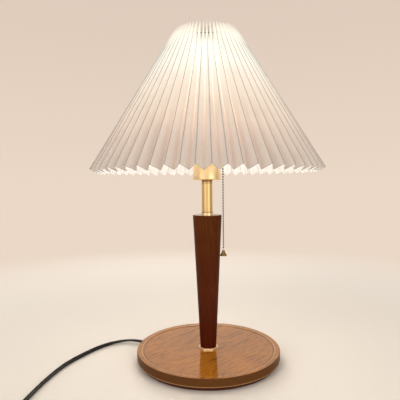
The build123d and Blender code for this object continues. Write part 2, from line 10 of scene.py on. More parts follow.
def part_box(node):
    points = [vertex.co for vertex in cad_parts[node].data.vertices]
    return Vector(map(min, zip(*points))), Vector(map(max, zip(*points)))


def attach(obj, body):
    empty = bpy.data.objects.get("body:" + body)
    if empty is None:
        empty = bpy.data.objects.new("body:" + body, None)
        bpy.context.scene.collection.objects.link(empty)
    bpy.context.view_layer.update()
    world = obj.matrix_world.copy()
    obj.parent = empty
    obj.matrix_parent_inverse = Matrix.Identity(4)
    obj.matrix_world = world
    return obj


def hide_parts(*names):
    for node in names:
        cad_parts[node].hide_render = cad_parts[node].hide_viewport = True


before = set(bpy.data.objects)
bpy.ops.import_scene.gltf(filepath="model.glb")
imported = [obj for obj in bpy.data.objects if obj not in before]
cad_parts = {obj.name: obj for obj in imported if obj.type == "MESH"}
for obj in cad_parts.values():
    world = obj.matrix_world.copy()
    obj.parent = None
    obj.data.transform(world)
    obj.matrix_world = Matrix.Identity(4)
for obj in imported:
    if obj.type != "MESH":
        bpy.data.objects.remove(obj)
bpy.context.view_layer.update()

bl_info = {
    "name": "Pleated table lamp",
    "version": (1, 0, 0),
    "blender": (4, 5, 0),
    "location": "View3D > Sidebar > Lamp",
    "description": "Dresses the parts of a pleated table lamp: shade, wood, brass, chain, bulb and cord",
    "category": "Object",
}

MM = 0.001
UP = Vector((0, 0, 1))
FULL_TURN = 2 * math.pi
QUARTER_TURN = math.pi / 2

# Sockets of Blender's Mix node when it mixes colours
MIX_A = 6
MIX_B = 7
MIX_RESULT = 2

# A wave texture of scale 1 repeats after this much of a unit
WAVE_LENGTH = 2 * math.pi / 20


def linear(hex_code):
    """An sRGB hex colour as linear RGBA."""
    channels = [int(hex_code[start:start + 2], 16) / 255 for start in (1, 3, 5)]
    bright = [c / 12.92 if c <= 0.04045 else ((c + 0.055) / 1.055) ** 2.4 for c in channels]
    return (*bright, 1.0)


def colour(name, description, hex_code):
    """A colour that the user may change, given by its sRGB hex value."""
    return FloatVectorProperty(
        name=name,
        description=description,
        subtype="COLOR",
        size=4,
        min=0.0,
        max=1.0,
        default=linear(hex_code),
    )


def length(name, description, millimetres):
    """A length that the user may change, given in millimetres and kept in metres."""
    return FloatProperty(
        name=name, description=description, unit="LENGTH", precision=5, default=millimetres * MM
    )


def degrees(name, description, value):
    """An angle that the user may change, given in degrees and kept in radians."""
    return FloatProperty(
        name=name, description=description, subtype="ANGLE", default=math.radians(value)
    )


def number(name, description, value, unit="NONE"):
    """A strength, power or lens that the user may change."""
    return FloatProperty(name=name, description=description, unit=unit, default=value)


# Settings


class LampStageSettings(bpy.types.PropertyGroup):
    """Camera, floor and studio light."""

    camera_place: FloatVectorProperty(
        name="Camera place",
        description="Where the camera stands",
        subtype="TRANSLATION",
        unit="LENGTH",
        default=(0.0134, -0.6421, 0.2712),
    )
    camera_turn: degrees("Camera turn", "Turn of the view to the left", 2.18)
    camera_dip: degrees("Camera dip", "Tilt of the view below the horizon", 2.10)
    camera_roll: degrees("Camera roll", "Turn of the camera about its own view", -0.52)
    camera_lens: number("Lens", "Focal length on a 36 mm wide sensor", 37.48, "CAMERA")
    floor_radius: length("Floor radius", "Radius of the round floor", 5000)
    floor_colour: colour("Floor", "Pale painted table", "#FAF1E6")
    backdrop_colour: colour("Backdrop", "Pale wall behind the lamp", "#EBD8C6")
    upper_colour: colour("Upper backdrop", "The wall further up, a little darker", "#DDCABA")
    fill_strength: number("Fill", "Strength of the even light from all round", 0.5)
    key_power: number("Key", "Power of the large soft light", 8.0, "POWER")
    side_power: number("Side", "Power of the soft light from the right", 8.6, "POWER")
    back_power: number("Back", "Power of the soft light from the rear", 10.0, "POWER")


class LampShadeSettings(bpy.types.PropertyGroup):
    """Pleated sheet and the thread that laces it."""

    pleat_count: IntProperty(name="Pleats", description="Number of pleats", default=60, min=8)
    top_radius: length("Top radius", "Radius of the outer folds at the top", 48)
    hem_radius: length("Hem radius", "Radius of the outer folds at the hem", 175)
    drop: length("Drop", "Height of the outer folds from top to hem", 208)
    pleat_width: length("Pleat width", "Width of one flat panel", 15.65)
    thickness: length("Thickness", "Thickness of the laminated sheet", 0.5)
    slackness: length("Slackness", "How far a panel may bow from flat", 0.25)
    thread_radius: length("Thread ply radius", "Radius of one ply of the thread", 0.34)
    fabric_colour: colour("Fabric", "Off-white laminated cotton", "#E2D9D0")
    film_colour: colour("Film", "White film on the inside of the sheet", "#F6F5F4")
    thread_colour: colour("Thread", "Waxed lacing thread", "#8A7460")


class LampWoodSettings(bpy.types.PropertyGroup):
    """Walnut base and post."""

    base_pale: colour("Base early wood", "Paler growth of the base's board", "#C27A20")
    base_dark: colour("Base late wood", "Darker growth of the base's board", "#A66216")
    post_pale: colour("Post early wood", "Paler growth of the turned post", "#62320A")
    post_dark: colour("Post late wood", "Darker growth of the turned post", "#4C2406")
    # Also painted shade in the tray's corner
    pore_and_corner_shade_colour: colour("Pores", "Stain drawn into the open pores, and painted shade in the tray's corner", "#34170A")
    grain_turn: degrees("Grain turn", "Direction of the base's grain, seen from above", 50)
    ring_spacing: length("Ring spacing", "Distance between growth rings", 5.0)
    lip_inner: length("Lip radius", "Radius of the lip's inner edge", 101.5)
    flame_colour: colour("Flame", "Dark flame figure in the base's board", "#4A2206")
    # Painted shade on the base's side
    side_shade: colour("Painted side shade", "Painted shade on the base's side", "#55300C")
    # Painted shade on the undercut
    under_shade: colour("Undercut shade", "Painted shade on the undercut below the side", "#3E0A06")
    foot_stain: colour("Foot stain", "Deeper stain towards the foot of the post", "#4E0F07")
    # Painted highlight on the lip's inner edge and the side's lower edge
    edge_highlight_colour: colour("Painted edge highlight", "Painted highlight on the lip's inner edge and the side's lower edge", "#E0AE74")


class LampMetalSettings(bpy.types.PropertyGroup):
    """Brass, steel and chain finishes."""

    brass_colour: colour("Satin brass", "Lacquered satin brass of the cup and rings", "#FCDDA8")
    aged_colour: colour("Aged brass", "Dark brass of the ball chain", "#20160C")
    tube_colour: colour("Tube brass", "Deeper satin brass of the neck tube", "#E6C184")
    # Painted shade at the ends of the neck tube
    tube_end_shade_colour: colour("Painted tube shade", "Tarnish at the ends of the neck tube", "#5A3A10")
    bell_colour: colour("Bell brass", "Brighter brass of the bell-shaped pull", "#8F6F3E")
    zinc_colour: colour("Zinc", "Bright zinc plate", "#B9BCC0")
    nickel_colour: colour("Nickel", "Nickel plate on pins and bulb cap", "#C9C5BC")
    bead_radius: length("Bead radius", "Radius of one ball of the chain", 1.2)
    bead_pitch: length("Bead pitch", "Distance from ball to ball", 3.95)
    link_radius: length("Link radius", "Radius of the wire between two balls", 0.12)
    hanging_beads: IntProperty(
        name="Hanging beads", description="Balls from the swing pivot to the bell", default=32
    )


class LampBulbSettings(bpy.types.PropertyGroup):
    """Opal bulb and its screw cap."""

    globe_radius: length("Globe radius", "Radius of the bulb's ball", 30)
    neck_radius: length("Neck radius", "Radius of the glass where it meets the cap", 12.6)
    neck_length: length("Neck length", "Straight part of the glass above the cap", 5)
    thread_pitch: length("Thread pitch", "Rise of the screw cap in one turn", 3.629)
    thread_depth: length("Thread depth", "Depth of the rolled thread", 0.9)
    glass_colour: colour("Opal glass", "White opal glass", "#FBF3E6")
    light_colour: colour("Light", "Warm white light", "#FFFAF2")
    light_strength: number("Glow", "Brightness of the lit glass", 13.0)


class LampCordSettings(bpy.types.PropertyGroup):
    """Flat twin cord, strain relief and plug."""

    width: length("Cord width", "Wide side of the flat twin cord", 6.6)
    height: length("Cord height", "Narrow side of the flat twin cord", 3.5)
    azimuth: degrees("Exit azimuth", "Direction in which the cord leaves the base", 155)
    relief_start: length("Relief start", "Inner end of the strain relief, from the axis", 92.75)
    relief_end: length("Relief end", "Outer end of the strain relief, from the axis", 117)
    relief_rise: length("Relief height", "Height of the cord's exit", 5.5)
    relief_radius: length("Relief radius", "Radius of the strain relief in the base", 4.35)
    relief_tip: length("Relief tip", "Radius of the strain relief at its tip", 3.8)
    pvc_colour: colour("Black PVC", "Black PVC sheath", "#080706")
    band_colour: colour("Band", "Woven hook-and-loop band", "#26262A")


SETTINGS = {
    "lamp_stage": LampStageSettings,
    "lamp_shade": LampShadeSettings,
    "lamp_wood": LampWoodSettings,
    "lamp_metal": LampMetalSettings,
    "lamp_bulb": LampBulbSettings,
    "lamp_cord": LampCordSettings,
}

# Node and material helpers


def add_node(tree, kind, inputs=None, result=0, stops=(), **options):
    """Add one shader node with its options, links, constants and colour stops, and give one output."""
    node = tree.nodes.new("ShaderNode" + kind)
    for name, value in options.items():
        setattr(node, name, value)
    for socket, value in (inputs or {}).items():
        if isinstance(value, bpy.types.NodeSocket):
            tree.links.new(value, node.inputs[socket])
        else:
            node.inputs[socket].default_value = value
    if stops:
        elements = node.color_ramp.elements
        while len(elements) < len(stops):
            elements.new(1.0)
        for element, (position, tint) in zip(elements, stops):
            element.position = position
            element.color = tint
    return node.outputs[result]


def feed(node, **outputs):
    """Link outputs to the named sockets of a node."""
    for socket, output in outputs.items():
        node.id_data.links.new(output, node.inputs[socket.replace("_", " ")])


def grey_stops(levels):
    """Colour stops from (position, level) pairs."""
    return [(position, (level, level, level, 1.0)) for position, level in levels]


def start_material(name, **sockets):
    """A material with its Principled shader, whose plain sockets are set directly."""
    material = bpy.data.materials.new(name)
    material.use_nodes = True
    shader = material.node_tree.nodes["Principled BSDF"]
    for socket, value in sockets.items():
        shader.inputs[socket.replace("_", " ")].default_value = value
    return material, material.node_tree, shader


def mottle(tree, shader, size, detail, colours, gloss=None, distortion=0.0):
    """Vary a surface between two colours, and two roughness values, in patches of a real size."""
    place = add_node(tree, "TexCoord", result="Object")
    noise = {"Vector": place, "Scale": 1 / size, "Detail": detail, "Distortion": distortion}
    patches = add_node(tree, "TexNoise", noise)
    pair = {0: patches, MIX_A: colours[0], MIX_B: colours[1]}
    feed(shader, Base_Color=add_node(tree, "Mix", pair, MIX_RESULT, data_type="RGBA"))
    if gloss:
        levels = {"Value": patches, "To Min": gloss[0], "To Max": gloss[1]}
        feed(shader, Roughness=add_node(tree, "MapRange", levels))
    return patches


def wear(material, *nodes):
    """Put a material on CAD nodes whose shape is kept."""
    for node in nodes:
        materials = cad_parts[node].data.materials
        materials.clear()
        materials.append(material)


# Mesh helpers


def make_piece(name, points, faces, material, body, sharp=40.0):
    """A closed mesh that rides on a body, smooth but for edges sharper than an angle in degrees."""
    mesh = bpy.data.meshes.new(name)
    mesh.from_pydata(points, [], faces)
    work = bmesh.new()
    work.from_mesh(mesh)
    bmesh.ops.recalc_face_normals(work, faces=work.faces)
    work.to_mesh(mesh)
    work.free()
    mesh.materials.append(material)
    mesh.shade_smooth()
    mesh.set_sharp_from_angle(angle=math.radians(sharp))
    piece = bpy.data.objects.new(name, mesh)
    bpy.context.scene.collection.objects.link(piece)
    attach(piece, body)
    return piece


def polar(radius, angle, height):
    """A point by its distance from the axis, its angle round it and its height."""
    return Vector((radius * math.cos(angle), radius * math.sin(angle), height))


def turned(profile, steps, place=None):
    """A (radius, height) profile turned about Z. A point on the axis becomes a single point."""
    points = []
    rings = []
    for radius, height in profile:
        count = 1 if radius < 1e-9 else steps
        rings.append(range(len(points), len(points) + count))
        points += [polar(radius, FULL_TURN * k / steps, height) for k in range(count)]
    faces = []
    for low, high in zip(rings, rings[1:]):
        for k in range(steps):
            after = (k + 1) % steps
            corners = [low[k % len(low)], low[after % len(low)]]
            corners += [high[after % len(high)], high[k % len(high)]]
            faces.append(list(dict.fromkeys(corners)))
    if place is not None:
        points = [place @ point for point in points]
    return points, faces


def loft(rings, closed=False):
    """Faces between rings of equally many points, capped at both ends unless the rings close up."""
    count = len(rings[0])
    points = [point for ring in rings for point in ring]
    faces = []
    last = len(rings) if closed else len(rings) - 1
    for r in range(last):
        here = r * count
        there = (r + 1) % len(rings) * count
        for k in range(count):
            after = (k + 1) % count
            faces.append([here + k, here + after, there + after, there + k])
    if not closed:
        faces.append(list(range(count)))
        faces.append(list(range(len(points) - count, len(points))))
    return points, faces


def nurbs_line(controls, resolution):
    """Points along the smooth NURBS line of a route, read from a curve with no bevel."""
    curve = bpy.data.curves.new("route", "CURVE")
    curve.dimensions = "3D"
    curve.resolution_u = resolution
    spline = curve.splines.new("NURBS")
    spline.points.add(len(controls) - 1)
    for point, place in zip(spline.points, controls):
        point.co = (*place, 1.0)
    spline.order_u = 3
    spline.use_endpoint_u = True
    holder = bpy.data.objects.new("route", curve)
    line = bpy.data.meshes.new_from_object(holder)
    points = [vertex.co.copy() for vertex in line.vertices]
    bpy.data.objects.remove(holder)
    bpy.data.curves.remove(curve)
    bpy.data.meshes.remove(line)
    return points


def distances(points):
    """Distance of each point from the first one, along the line."""
    total = [0.0]
    for before, after in zip(points, points[1:]):
        total.append(total[-1] + (after - before).length)
    return total


def ease(value, start, end):
    """Smooth step from 0 at the start to 1 at the end."""
    share = min(1.0, max(0.0, (value - start) / (end - start)))
    return share * share * (3 - 2 * share)


# Stage

SENSOR_WIDTH = 36.0
CLIP_START = 0.01

# Place of each soft light, the side of its square, and whether polished faces mirror it. The rear
# light is kept out of reflections, so that the tray mirrors the plain wall.
LIGHTS = {
    "key": ((-1.1, -1.45, 0.85), 1.2, True),
    "side": ((1.1, -1.45, 0.75), 1.2, True),
    "back": ((-0.35, 1.45, 0.9), 0.8, False),
}
LIGHT_TARGET = Vector((0, 0, 0.22))
LIGHT_COLOUR = linear("#FFF9F1")
FILL_COLOUR = linear("#FFFBF6")

# Polished faces mirror a pale wall behind the lamp, a light room in front and dim sides. Each range
# is the share of a direction that points that way, where the change starts and where it is full.
WALL_RANGE = (0.2, 0.95)
ROOM_RANGE = (0.15, 0.7)
# The share that points up where the wall has reached its upper colour
UPPER_WALL = 0.45

# Distances from the lamp, in metres, where the table starts to blend into the wall and is lost in it
TABLE_END = (0.3, 1.2)


class LAMP_OT_make_stage(bpy.types.Operator):
    """Camera, pale floor, backdrop colour and soft studio light"""

    bl_idname = "lamp.make_stage"
    bl_label = "Make stage"

    def execute(self, context):
        stage = context.scene.lamp_stage
        self.make_camera(context.scene, stage)
        self.make_floor(context.scene, stage)
        self.make_world(context.scene, stage)
        for name, (place, size, mirrored) in LIGHTS.items():
            power = getattr(stage, f"{name}_power")
            self.make_light(context.scene, f"{name}_light", place, size, power, mirrored)
        context.scene.view_settings.view_transform = "Standard"
        return {"FINISHED"}

    def make_camera(self, scene, stage):
        """Camera that stands and looks as the settings say."""
        data = bpy.data.cameras.new("camera")
        data.sensor_width = SENSOR_WIDTH
        data.lens = stage.camera_lens
        data.clip_start = CLIP_START
        camera = bpy.data.objects.new("camera", data)
        turn = Matrix.Rotation(stage.camera_turn, 4, "Z")
        dip = Matrix.Rotation(QUARTER_TURN - stage.camera_dip, 4, "X")
        roll = Matrix.Rotation(stage.camera_roll, 4, "Z")
        camera.matrix_world = Matrix.Translation(stage.camera_place) @ turn @ dip @ roll
        scene.collection.objects.link(camera)
        scene.camera = camera

    def make_floor(self, scene, stage):
        """Round floor that the lamp stands on."""
        points, faces = turned([(0, 0), (stage.floor_radius, 0)], steps=64)
        mesh = bpy.data.meshes.new("floor")
        mesh.from_pydata(points, [], faces)
        mesh.materials.append(painted_floor(stage))
        floor = bpy.data.objects.new("floor", mesh)
        scene.collection.objects.link(floor)

    def make_world(self, scene, stage):
        """Even fill light, which shows as a wall to the camera and in polished faces."""
        world = bpy.data.worlds.new("studio")
        world.use_nodes = True
        tree = world.node_tree
        way = add_node(tree, "TexCoord", result="Generated")
        axes = add_node(tree, "SeparateXYZ", {0: way}).node.outputs
        depth = add_node(tree, "Math", {0: axes["Y"]}, operation="ABSOLUTE")
        glossy = add_node(tree, "LightPath", result="Is Glossy Ray")
        shares = []
        for reach, (start, end) in ((axes["Y"], WALL_RANGE), (depth, ROOM_RANGE)):
            limits = {"Value": reach, "From Min": start, "From Max": end}
            facing = add_node(tree, "MapRange", limits, interpolation_type="SMOOTHSTEP")
            mirrored = add_node(tree, "Math", {0: facing, 1: glossy}, operation="MULTIPLY")
            either = {0: mirrored, 1: seen_directly(tree)}
            shares.append(add_node(tree, "Math", either, operation="MAXIMUM"))
        seen, bright = shares
        levels = {"Value": bright, "To Min": stage.fill_strength, "To Max": 1.0}
        strength = add_node(tree, "MapRange", levels)
        height = add_node(tree, "MapRange", {"Value": axes["Z"], "From Min": 0.0, "From Max": UPPER_WALL})
        wall_stops = [(0.0, stage.backdrop_colour), (1.0, stage.upper_colour)]
        wall = add_node(tree, "ValToRGB", {"Fac": height}, stops=wall_stops)
        colours = {0: seen, MIX_A: FILL_COLOUR, MIX_B: wall}
        tint = add_node(tree, "Mix", colours, MIX_RESULT, data_type="RGBA")
        feed(tree.nodes["Background"], Color=tint, Strength=strength)
        scene.world = world

    def make_light(self, scene, name, place, size, power, mirrored):
        """Square soft light that faces the lamp."""
        data = bpy.data.lights.new(name, "AREA")
        data.size = size
        data.energy = power
        data.color = LIGHT_COLOUR[:3]
        light = bpy.data.objects.new(name, data)
        light.location = place
        light.rotation_euler = (LIGHT_TARGET - light.location).to_track_quat("-Z", "Y").to_euler()
        light.visible_glossy = mirrored
        scene.collection.objects.link(light)


def seen_directly(tree):
    """1 for what the camera sees, also through glass, and 0 for light that falls on the lamp."""
    path = add_node(tree, "LightPath").node.outputs
    rays = {0: path["Is Camera Ray"], 1: path["Is Transmission Ray"]}
    return add_node(tree, "Math", rays, operation="MAXIMUM")


def painted_floor(stage):
    """Pale painted table top: matt, even, and lost in the backdrop's colour further off."""
    material, tree, shader = start_material(
        "Painted table", Base_Color=stage.floor_colour, Roughness=0.6, Specular_IOR_Level=0.2
    )
    place = add_node(tree, "TexCoord", result="Object")
    reach = add_node(tree, "VectorMath", {0: place}, "Value", operation="LENGTH")
    limits = {"Value": reach, "From Min": TABLE_END[0], "From Max": TABLE_END[1]}
    far = add_node(tree, "MapRange", limits, interpolation_type="SMOOTHSTEP")
    share = add_node(tree, "Math", {0: far, 1: seen_directly(tree)}, operation="MULTIPLY")
    colours = {0: far, MIX_A: stage.floor_colour, MIX_B: stage.backdrop_colour}
    tint = add_node(tree, "Mix", colours, MIX_RESULT, data_type="RGBA")
    glow = add_node(tree, "Emission", {"Color": tint})
    blend = add_node(tree, "MixShader", {0: share, 1: shader.outputs[0], 2: glow})
    feed(tree.nodes["Material Output"], Surface=blend)
    return material


# Cord with its strain relief, band and plug

# The cord's route from the strain relief to its coil, along the table
CORD_POINTS = [
    (-0.1335, 0.0613, 0.0048),
    (-0.1500, 0.0600, 0.0038),
    (-0.1680, 0.0490, 0.0034),
    (-0.1845, 0.0290, 0.0033),
    (-0.1985, 0.0030, 0.0033),
    (-0.2095, -0.0205, 0.0033),
    (-0.2170, -0.0445, 0.0033),
    (-0.2220, -0.0740, 0.0033),
    (-0.2253, -0.1050, 0.0033),
    (-0.2269, -0.1395, 0.0036),
    (-0.2275, -0.1708, 0.0041),
    (-0.2275, -0.1988, 0.0041),
]
TAIL_POINTS = [
    (-0.1729, -0.2600, 0.0111),
    (-0.1569, -0.2600, 0.0107),
    (-0.1269, -0.2600, 0.0070),
    (-0.1109, -0.2600, 0.00685),
]
FIRST_RUN = 14 * MM
COIL_LEFT = -227.5 * MM
COIL_MIDDLE_Y = -212 * MM
COIL_RADIUS = 48 * MM
COIL_STEP = 3.55 * MM
COIL_HALF_TURNS = 6
COIL_LOW = 4.1 * MM
COIL_HIGH = 11.1 * MM
POINTS_PER_HALF_TURN = 8

# The cord leaves the base flat, turns onto its edge over the first length, turns back over the last
# one, and enters the plug flat
HEAD_TWIST = 0.11
TAIL_TWIST = 0.075
TAIL_FLAT = TAIL_TWIST / 8


def cord_exit(cord):
    """Where the cord leaves the strain relief, and its direction there."""
    out = polar(1.0, cord.azimuth, 0.0)
    return out * cord.relief_end + UP * cord.relief_rise, out


def coil_points():
    """Control points of the coil: spiral in on the lower layer, climb, spiral out on the upper one."""
    inward = [COIL_RADIUS - COIL_STEP * k for k in range(COIL_HALF_TURNS)]
    plan = [(radius, COIL_LOW, COIL_LOW) for radius in inward]
    plan.append((COIL_RADIUS - COIL_STEP * COIL_HALF_TURNS, COIL_LOW, COIL_HIGH))
    plan += [(radius, COIL_HIGH, COIL_HIGH) for radius in reversed(inward[1:])]
    plan.append((COIL_RADIUS, COIL_HIGH, COIL_HIGH))
    # The spline runs inside its control points, so they stand further out by this factor
    step = math.pi / POINTS_PER_HALF_TURN
    hold = 1 / (0.75 + 0.25 * math.cos(step))
    points = []
    x = COIL_LEFT
    side = 1
    for turn, (radius, start_z, end_z) in enumerate(plan):
        last = turn == len(plan) - 1
        count = POINTS_PER_HALF_TURN // 2 if last else POINTS_PER_HALF_TURN
        for k in range(count):
            share = (k + 0.5) / POINTS_PER_HALF_TURN
            angle = math.pi * share + (math.pi if side > 0 else 0)
            point_x = x + side * radius + hold * radius * math.cos(angle)
            point_y = COIL_MIDDLE_Y + hold * radius * math.sin(angle)
            points.append(Vector((point_x, point_y, start_z + (end_z - start_z) * share)))
        x += side * 2 * radius
        side = -side
    return points


def twin_section(width, height):
    """Outline of a flat twin cord: two round cores side by side with a groove between them."""
    radius = height / 2
    offset = width / 2 - radius
    reach = math.acos(-offset / radius)
    steps = 8
    right = []
    for k in range(steps + 1):
        angle = -reach + 2 * reach * k / steps
        right.append((offset + radius * math.cos(angle), radius * math.sin(angle)))
    left = [(-across, -rise) for across, rise in right[1:-1]]
    return right + left


def cord_rings(path, section, along):
    """The section carried along the path, standing on its edge between its two flat ends."""
    rings = []
    whole = along[-1]
    for k, here in enumerate(path):
        tangent = (path[min(k + 1, len(path) - 1)] - path[max(k - 1, 0)]).normalized()
        side = UP.cross(tangent).normalized()
        rise = tangent.cross(side)
        on_edge = ease(along[k], 0.0, HEAD_TWIST)
        on_edge -= ease(along[k], whole - TAIL_TWIST, whole - TAIL_FLAT)
        turn = on_edge * QUARTER_TURN
        wide = side * math.cos(turn) + rise * math.sin(turn)
        thin = rise * math.cos(turn) - side * math.sin(turn)
        rings.append([here + wide * across + thin * up for across, up in section])
    return rings


def black_pvc(cord):
    """Extruded PVC: black, half matt, with a faint drag from the die and a few scuffs."""
    material, tree, shader = start_material("Black PVC", Roughness=0.28, IOR=1.45)
    scuffed = (cord.pvc_colour, linear("#12100E"))
    mottle(tree, shader, size=9 * MM, detail=5.0, colours=scuffed, gloss=(0.2, 0.36))
    return material


def sleeved_pin(cord, metal):
    """Nickel-plated brass pin with a black moulded sleeve next to the plug."""
    material, tree, shader = start_material("Sleeved nickel pin", Roughness=0.25)
    sleeve_length = 10 * MM
    edge = 0.2 * MM
    sleeve_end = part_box("plug_body")[1].x + sleeve_length
    place = add_node(tree, "TexCoord", result="Object")
    reach = add_node(tree, "SeparateXYZ", {0: place}, "X")
    limits = {"Value": reach, "From Min": sleeve_end, "From Max": sleeve_end + edge}
    bare = add_node(tree, "MapRange", limits)
    colours = {0: bare, MIX_A: cord.pvc_colour, MIX_B: metal.nickel_colour}
    tint = add_node(tree, "Mix", colours, MIX_RESULT, data_type="RGBA")
    feed(shader, Base_Color=tint, Metallic=bare)
    return material


def woven_band(cord):
    """Woven nylon band: dark, matt, with its crossing threads just showing."""
    material, tree, shader = start_material("Woven nylon band", Roughness=0.85)
    thread_spacing = 1.0 * MM
    threads = {
        "Vector": add_node(tree, "TexCoord", result="Object"),
        "Color1": cord.band_colour,
        "Color2": linear("#3A3A40"),
        "Scale": 1 / thread_spacing,
    }
    feed(shader, Base_Color=add_node(tree, "TexChecker", threads))
    return material


class LAMP_OT_make_cord(bpy.types.Operator):
    """Flat twin cord along the table to its coil, with strain relief, band, plug and pins"""

    bl_idname = "lamp.make_cord"
    bl_label = "Make cord"

    def execute(self, context):
        cord = context.scene.lamp_cord
        pvc = black_pvc(cord)
        plug = self.make_plug(pvc)
        band = self.make_band(cord)
        wear(sleeved_pin(cord, context.scene.lamp_metal), "plug_pins")
        self.make_relief(cord, pvc)
        leave, out = cord_exit(cord)
        controls = [leave, leave + out * FIRST_RUN]
        controls += [Vector(point) for point in CORD_POINTS]
        controls += coil_points()
        controls += [Vector(point) for point in TAIL_POINTS]
        path = nurbs_line(controls, resolution=6)
        section = twin_section(cord.width, cord.height)
        points, faces = loft(cord_rings(path, section, distances(path)))
        flex = make_piece("flat_twin_cord", points, faces, pvc, "lamp")
        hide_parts("cord_run", "cord_coil", "cord_tail")
        return {"FINISHED"}

    def make_relief(self, cord, pvc):
        """Tapered strain relief with grip ribs outside the base."""
        plain_length = 16 * MM
        rib_count = 4
        rib_depth = 0.45 * MM
        steps = 24
        shoulder = cord.relief_start + plain_length
        profile = [(0, cord.relief_start), (cord.relief_radius, cord.relief_start)]
        for k in range(steps + 1):
            share = k / steps
            radius = cord.relief_radius + (cord.relief_tip - cord.relief_radius) * share
            radius -= rib_depth * (0.5 - 0.5 * math.cos(FULL_TURN * rib_count * share))
            profile.append((radius, shoulder + (cord.relief_end - shoulder) * share))
        profile.append((0, cord.relief_end))
        place = (
            Matrix.Rotation(cord.azimuth, 4, "Z")
            @ Matrix.Translation((0, 0, cord.relief_rise))
            @ Matrix.Rotation(QUARTER_TURN, 4, "Y")
        )
        points, faces = turned(profile, steps=24, place=place)
        relief = make_piece("strain_relief", points, faces, pvc, "lamp")
        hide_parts("cord_gland")

    def make_band(self, cord):
        """Hook-and-loop band round all turns of the coil."""
        low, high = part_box("coil_tie")
        middle = (low + high) / 2
        half_wide = (high.x - low.x) / 2
        half_tall = (high.z - low.z) / 2
        corner = 3 * MM
        thick = 0.7 * MM
        rings = []
        steps = 6
        for quarter in range(4):
            sign_x = 1 if quarter in (0, 3) else -1
            sign_z = 1 if quarter in (0, 1) else -1
            for k in range(steps + 1):
                angle = QUARTER_TURN * (quarter + k / steps)
                ring = []
                for inset, y in ((0, low.y), (0, high.y), (thick, high.y), (thick, low.y)):
                    radius = corner - inset
                    x = middle.x + sign_x * (half_wide - corner) + radius * math.cos(angle)
                    z = middle.z + sign_z * (half_tall - corner) + radius * math.sin(angle)
                    ring.append(Vector((x, y, z)))
                rings.append(ring)
        points, faces = loft(rings, closed=True)
        band = make_piece("coil_band", points, faces, woven_band(cord), "lamp")
        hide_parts("coil_tie")
        return band

    def make_plug(self, pvc):
        """Moulded two-pin plug: a flat rounded body with grip ribs on both faces."""
        low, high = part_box("plug_body")
        middle_y = (low.y + high.y) / 2
        middle_z = (low.z + high.z) / 2
        half_front = (high.y - low.y) / 2
        half_rear = 5.2 * MM
        half_tall = (high.z - low.z) / 2
        rear_height = 0.72
        rear_taper = 0.25
        front_taper = 0.12
        squareness = 0.5
        # Places along the plug, as shares of its length from the cord to the pins
        shoulder = 0.42
        rear_edge = 0.06
        front_edge = 0.92
        grip_start = 0.33
        grip_end = 0.79
        grip_fade = 0.03
        rib_count = 5
        rib_depth = 0.5 * MM
        stations = 48
        sides = 40
        rings = []
        for k in range(stations + 1):
            share = k / stations
            swell = ease(share, 0.0, shoulder)
            ends = 1 - front_taper * ease(share, front_edge, 1.0)
            ends -= rear_taper * (1 - ease(share, 0.0, rear_edge))
            half_wide = (half_rear + (half_front - half_rear) * swell) * ends
            tall = half_tall * (rear_height + (1 - rear_height) * swell) * ends
            grip = ease(share, grip_start - grip_fade, grip_start + grip_fade)
            grip -= ease(share, grip_end - grip_fade, grip_end + grip_fade)
            rib = rib_count * (share - grip_start) / (grip_end - grip_start)
            tall -= rib_depth * grip * (0.5 - 0.5 * math.cos(FULL_TURN * rib))
            ring = []
            for step in range(sides):
                angle = FULL_TURN * step / sides
                across = math.copysign(abs(math.cos(angle)) ** squareness, math.cos(angle))
                rise = math.copysign(abs(math.sin(angle)) ** squareness, math.sin(angle))
                x = low.x + (high.x - low.x) * share
                ring.append(Vector((x, middle_y + half_wide * across, middle_z + tall * rise)))
            rings.append(ring)
        points, faces = loft(rings)
        plug = make_piece("plug_moulding", points, faces, pvc, "lamp", sharp=50.0)
        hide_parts("plug_body")
        return plug


# Pleated shade

# Columns across one panel as shares of its width, rows from the top edge to the hem, and the panel
# at the back where the sheet's two ends are glued
PANEL_SHARES = (0.04, 0.25, 0.5, 0.75, 0.96)
SHADE_ROWS = 14
SEAM_PANEL = 29

# Half the width of a fold's sharp inside, and half the thickness of the lacing thread
VALLEY_HALF = 0.03 * MM
LACING_RADIUS = 0.6 * MM

# Values at each point of the sheet: 1 at an outer fold and 0 at an inner one, the distance from the
# top edge along the slant, and 1 on the outside and 0 on the inside
SHEET_VALUES = ("fold", "slant", "skin")

# Painted shade on the cloth, darkest at the outer folds, and the share of the painted glow, from an inner
# fold to an outer one
PAINTED_FOLD_SHADE = ((0.0, 1.0), (0.06, 0.97), (0.92, 0.97), (0.955, 0.64), (1.0, 0.54))
FOLD_LIGHT = (
    (0.0, 0.68),
    (0.06, 0.62),
    (0.13, 0.43),
    (0.4, 0.4),
    (0.92, 0.41),
    (0.955, 0.23),
    (1.0, 0.18),
)
# Above the lacing the pleats are drawn together, and the painted glow only lights their outer folds
CROWN_LIGHT = ((0.0, 0.15), (0.45, 0.3), (0.8, 0.5), (1.0, 0.5))

# Colour of the painted glow, from the top edge to the hem, and of the even painted glow on the inside
# film
GLOW_COLOURS = (
    (0.0, "#999389"),
    (0.05, "#B6B5AA"),
    (0.12, "#C0C6BE"),
    (0.28, "#B9BFBA"),
    (0.41, "#B1ACA2"),
    (0.545, "#A3988B"),
    (0.68, "#938274"),
    (0.82, "#735F56"),
    (1.0, "#48352C"),
)
LINING_GLOW = "#595753"
GLOW_STRENGTH = 2.0


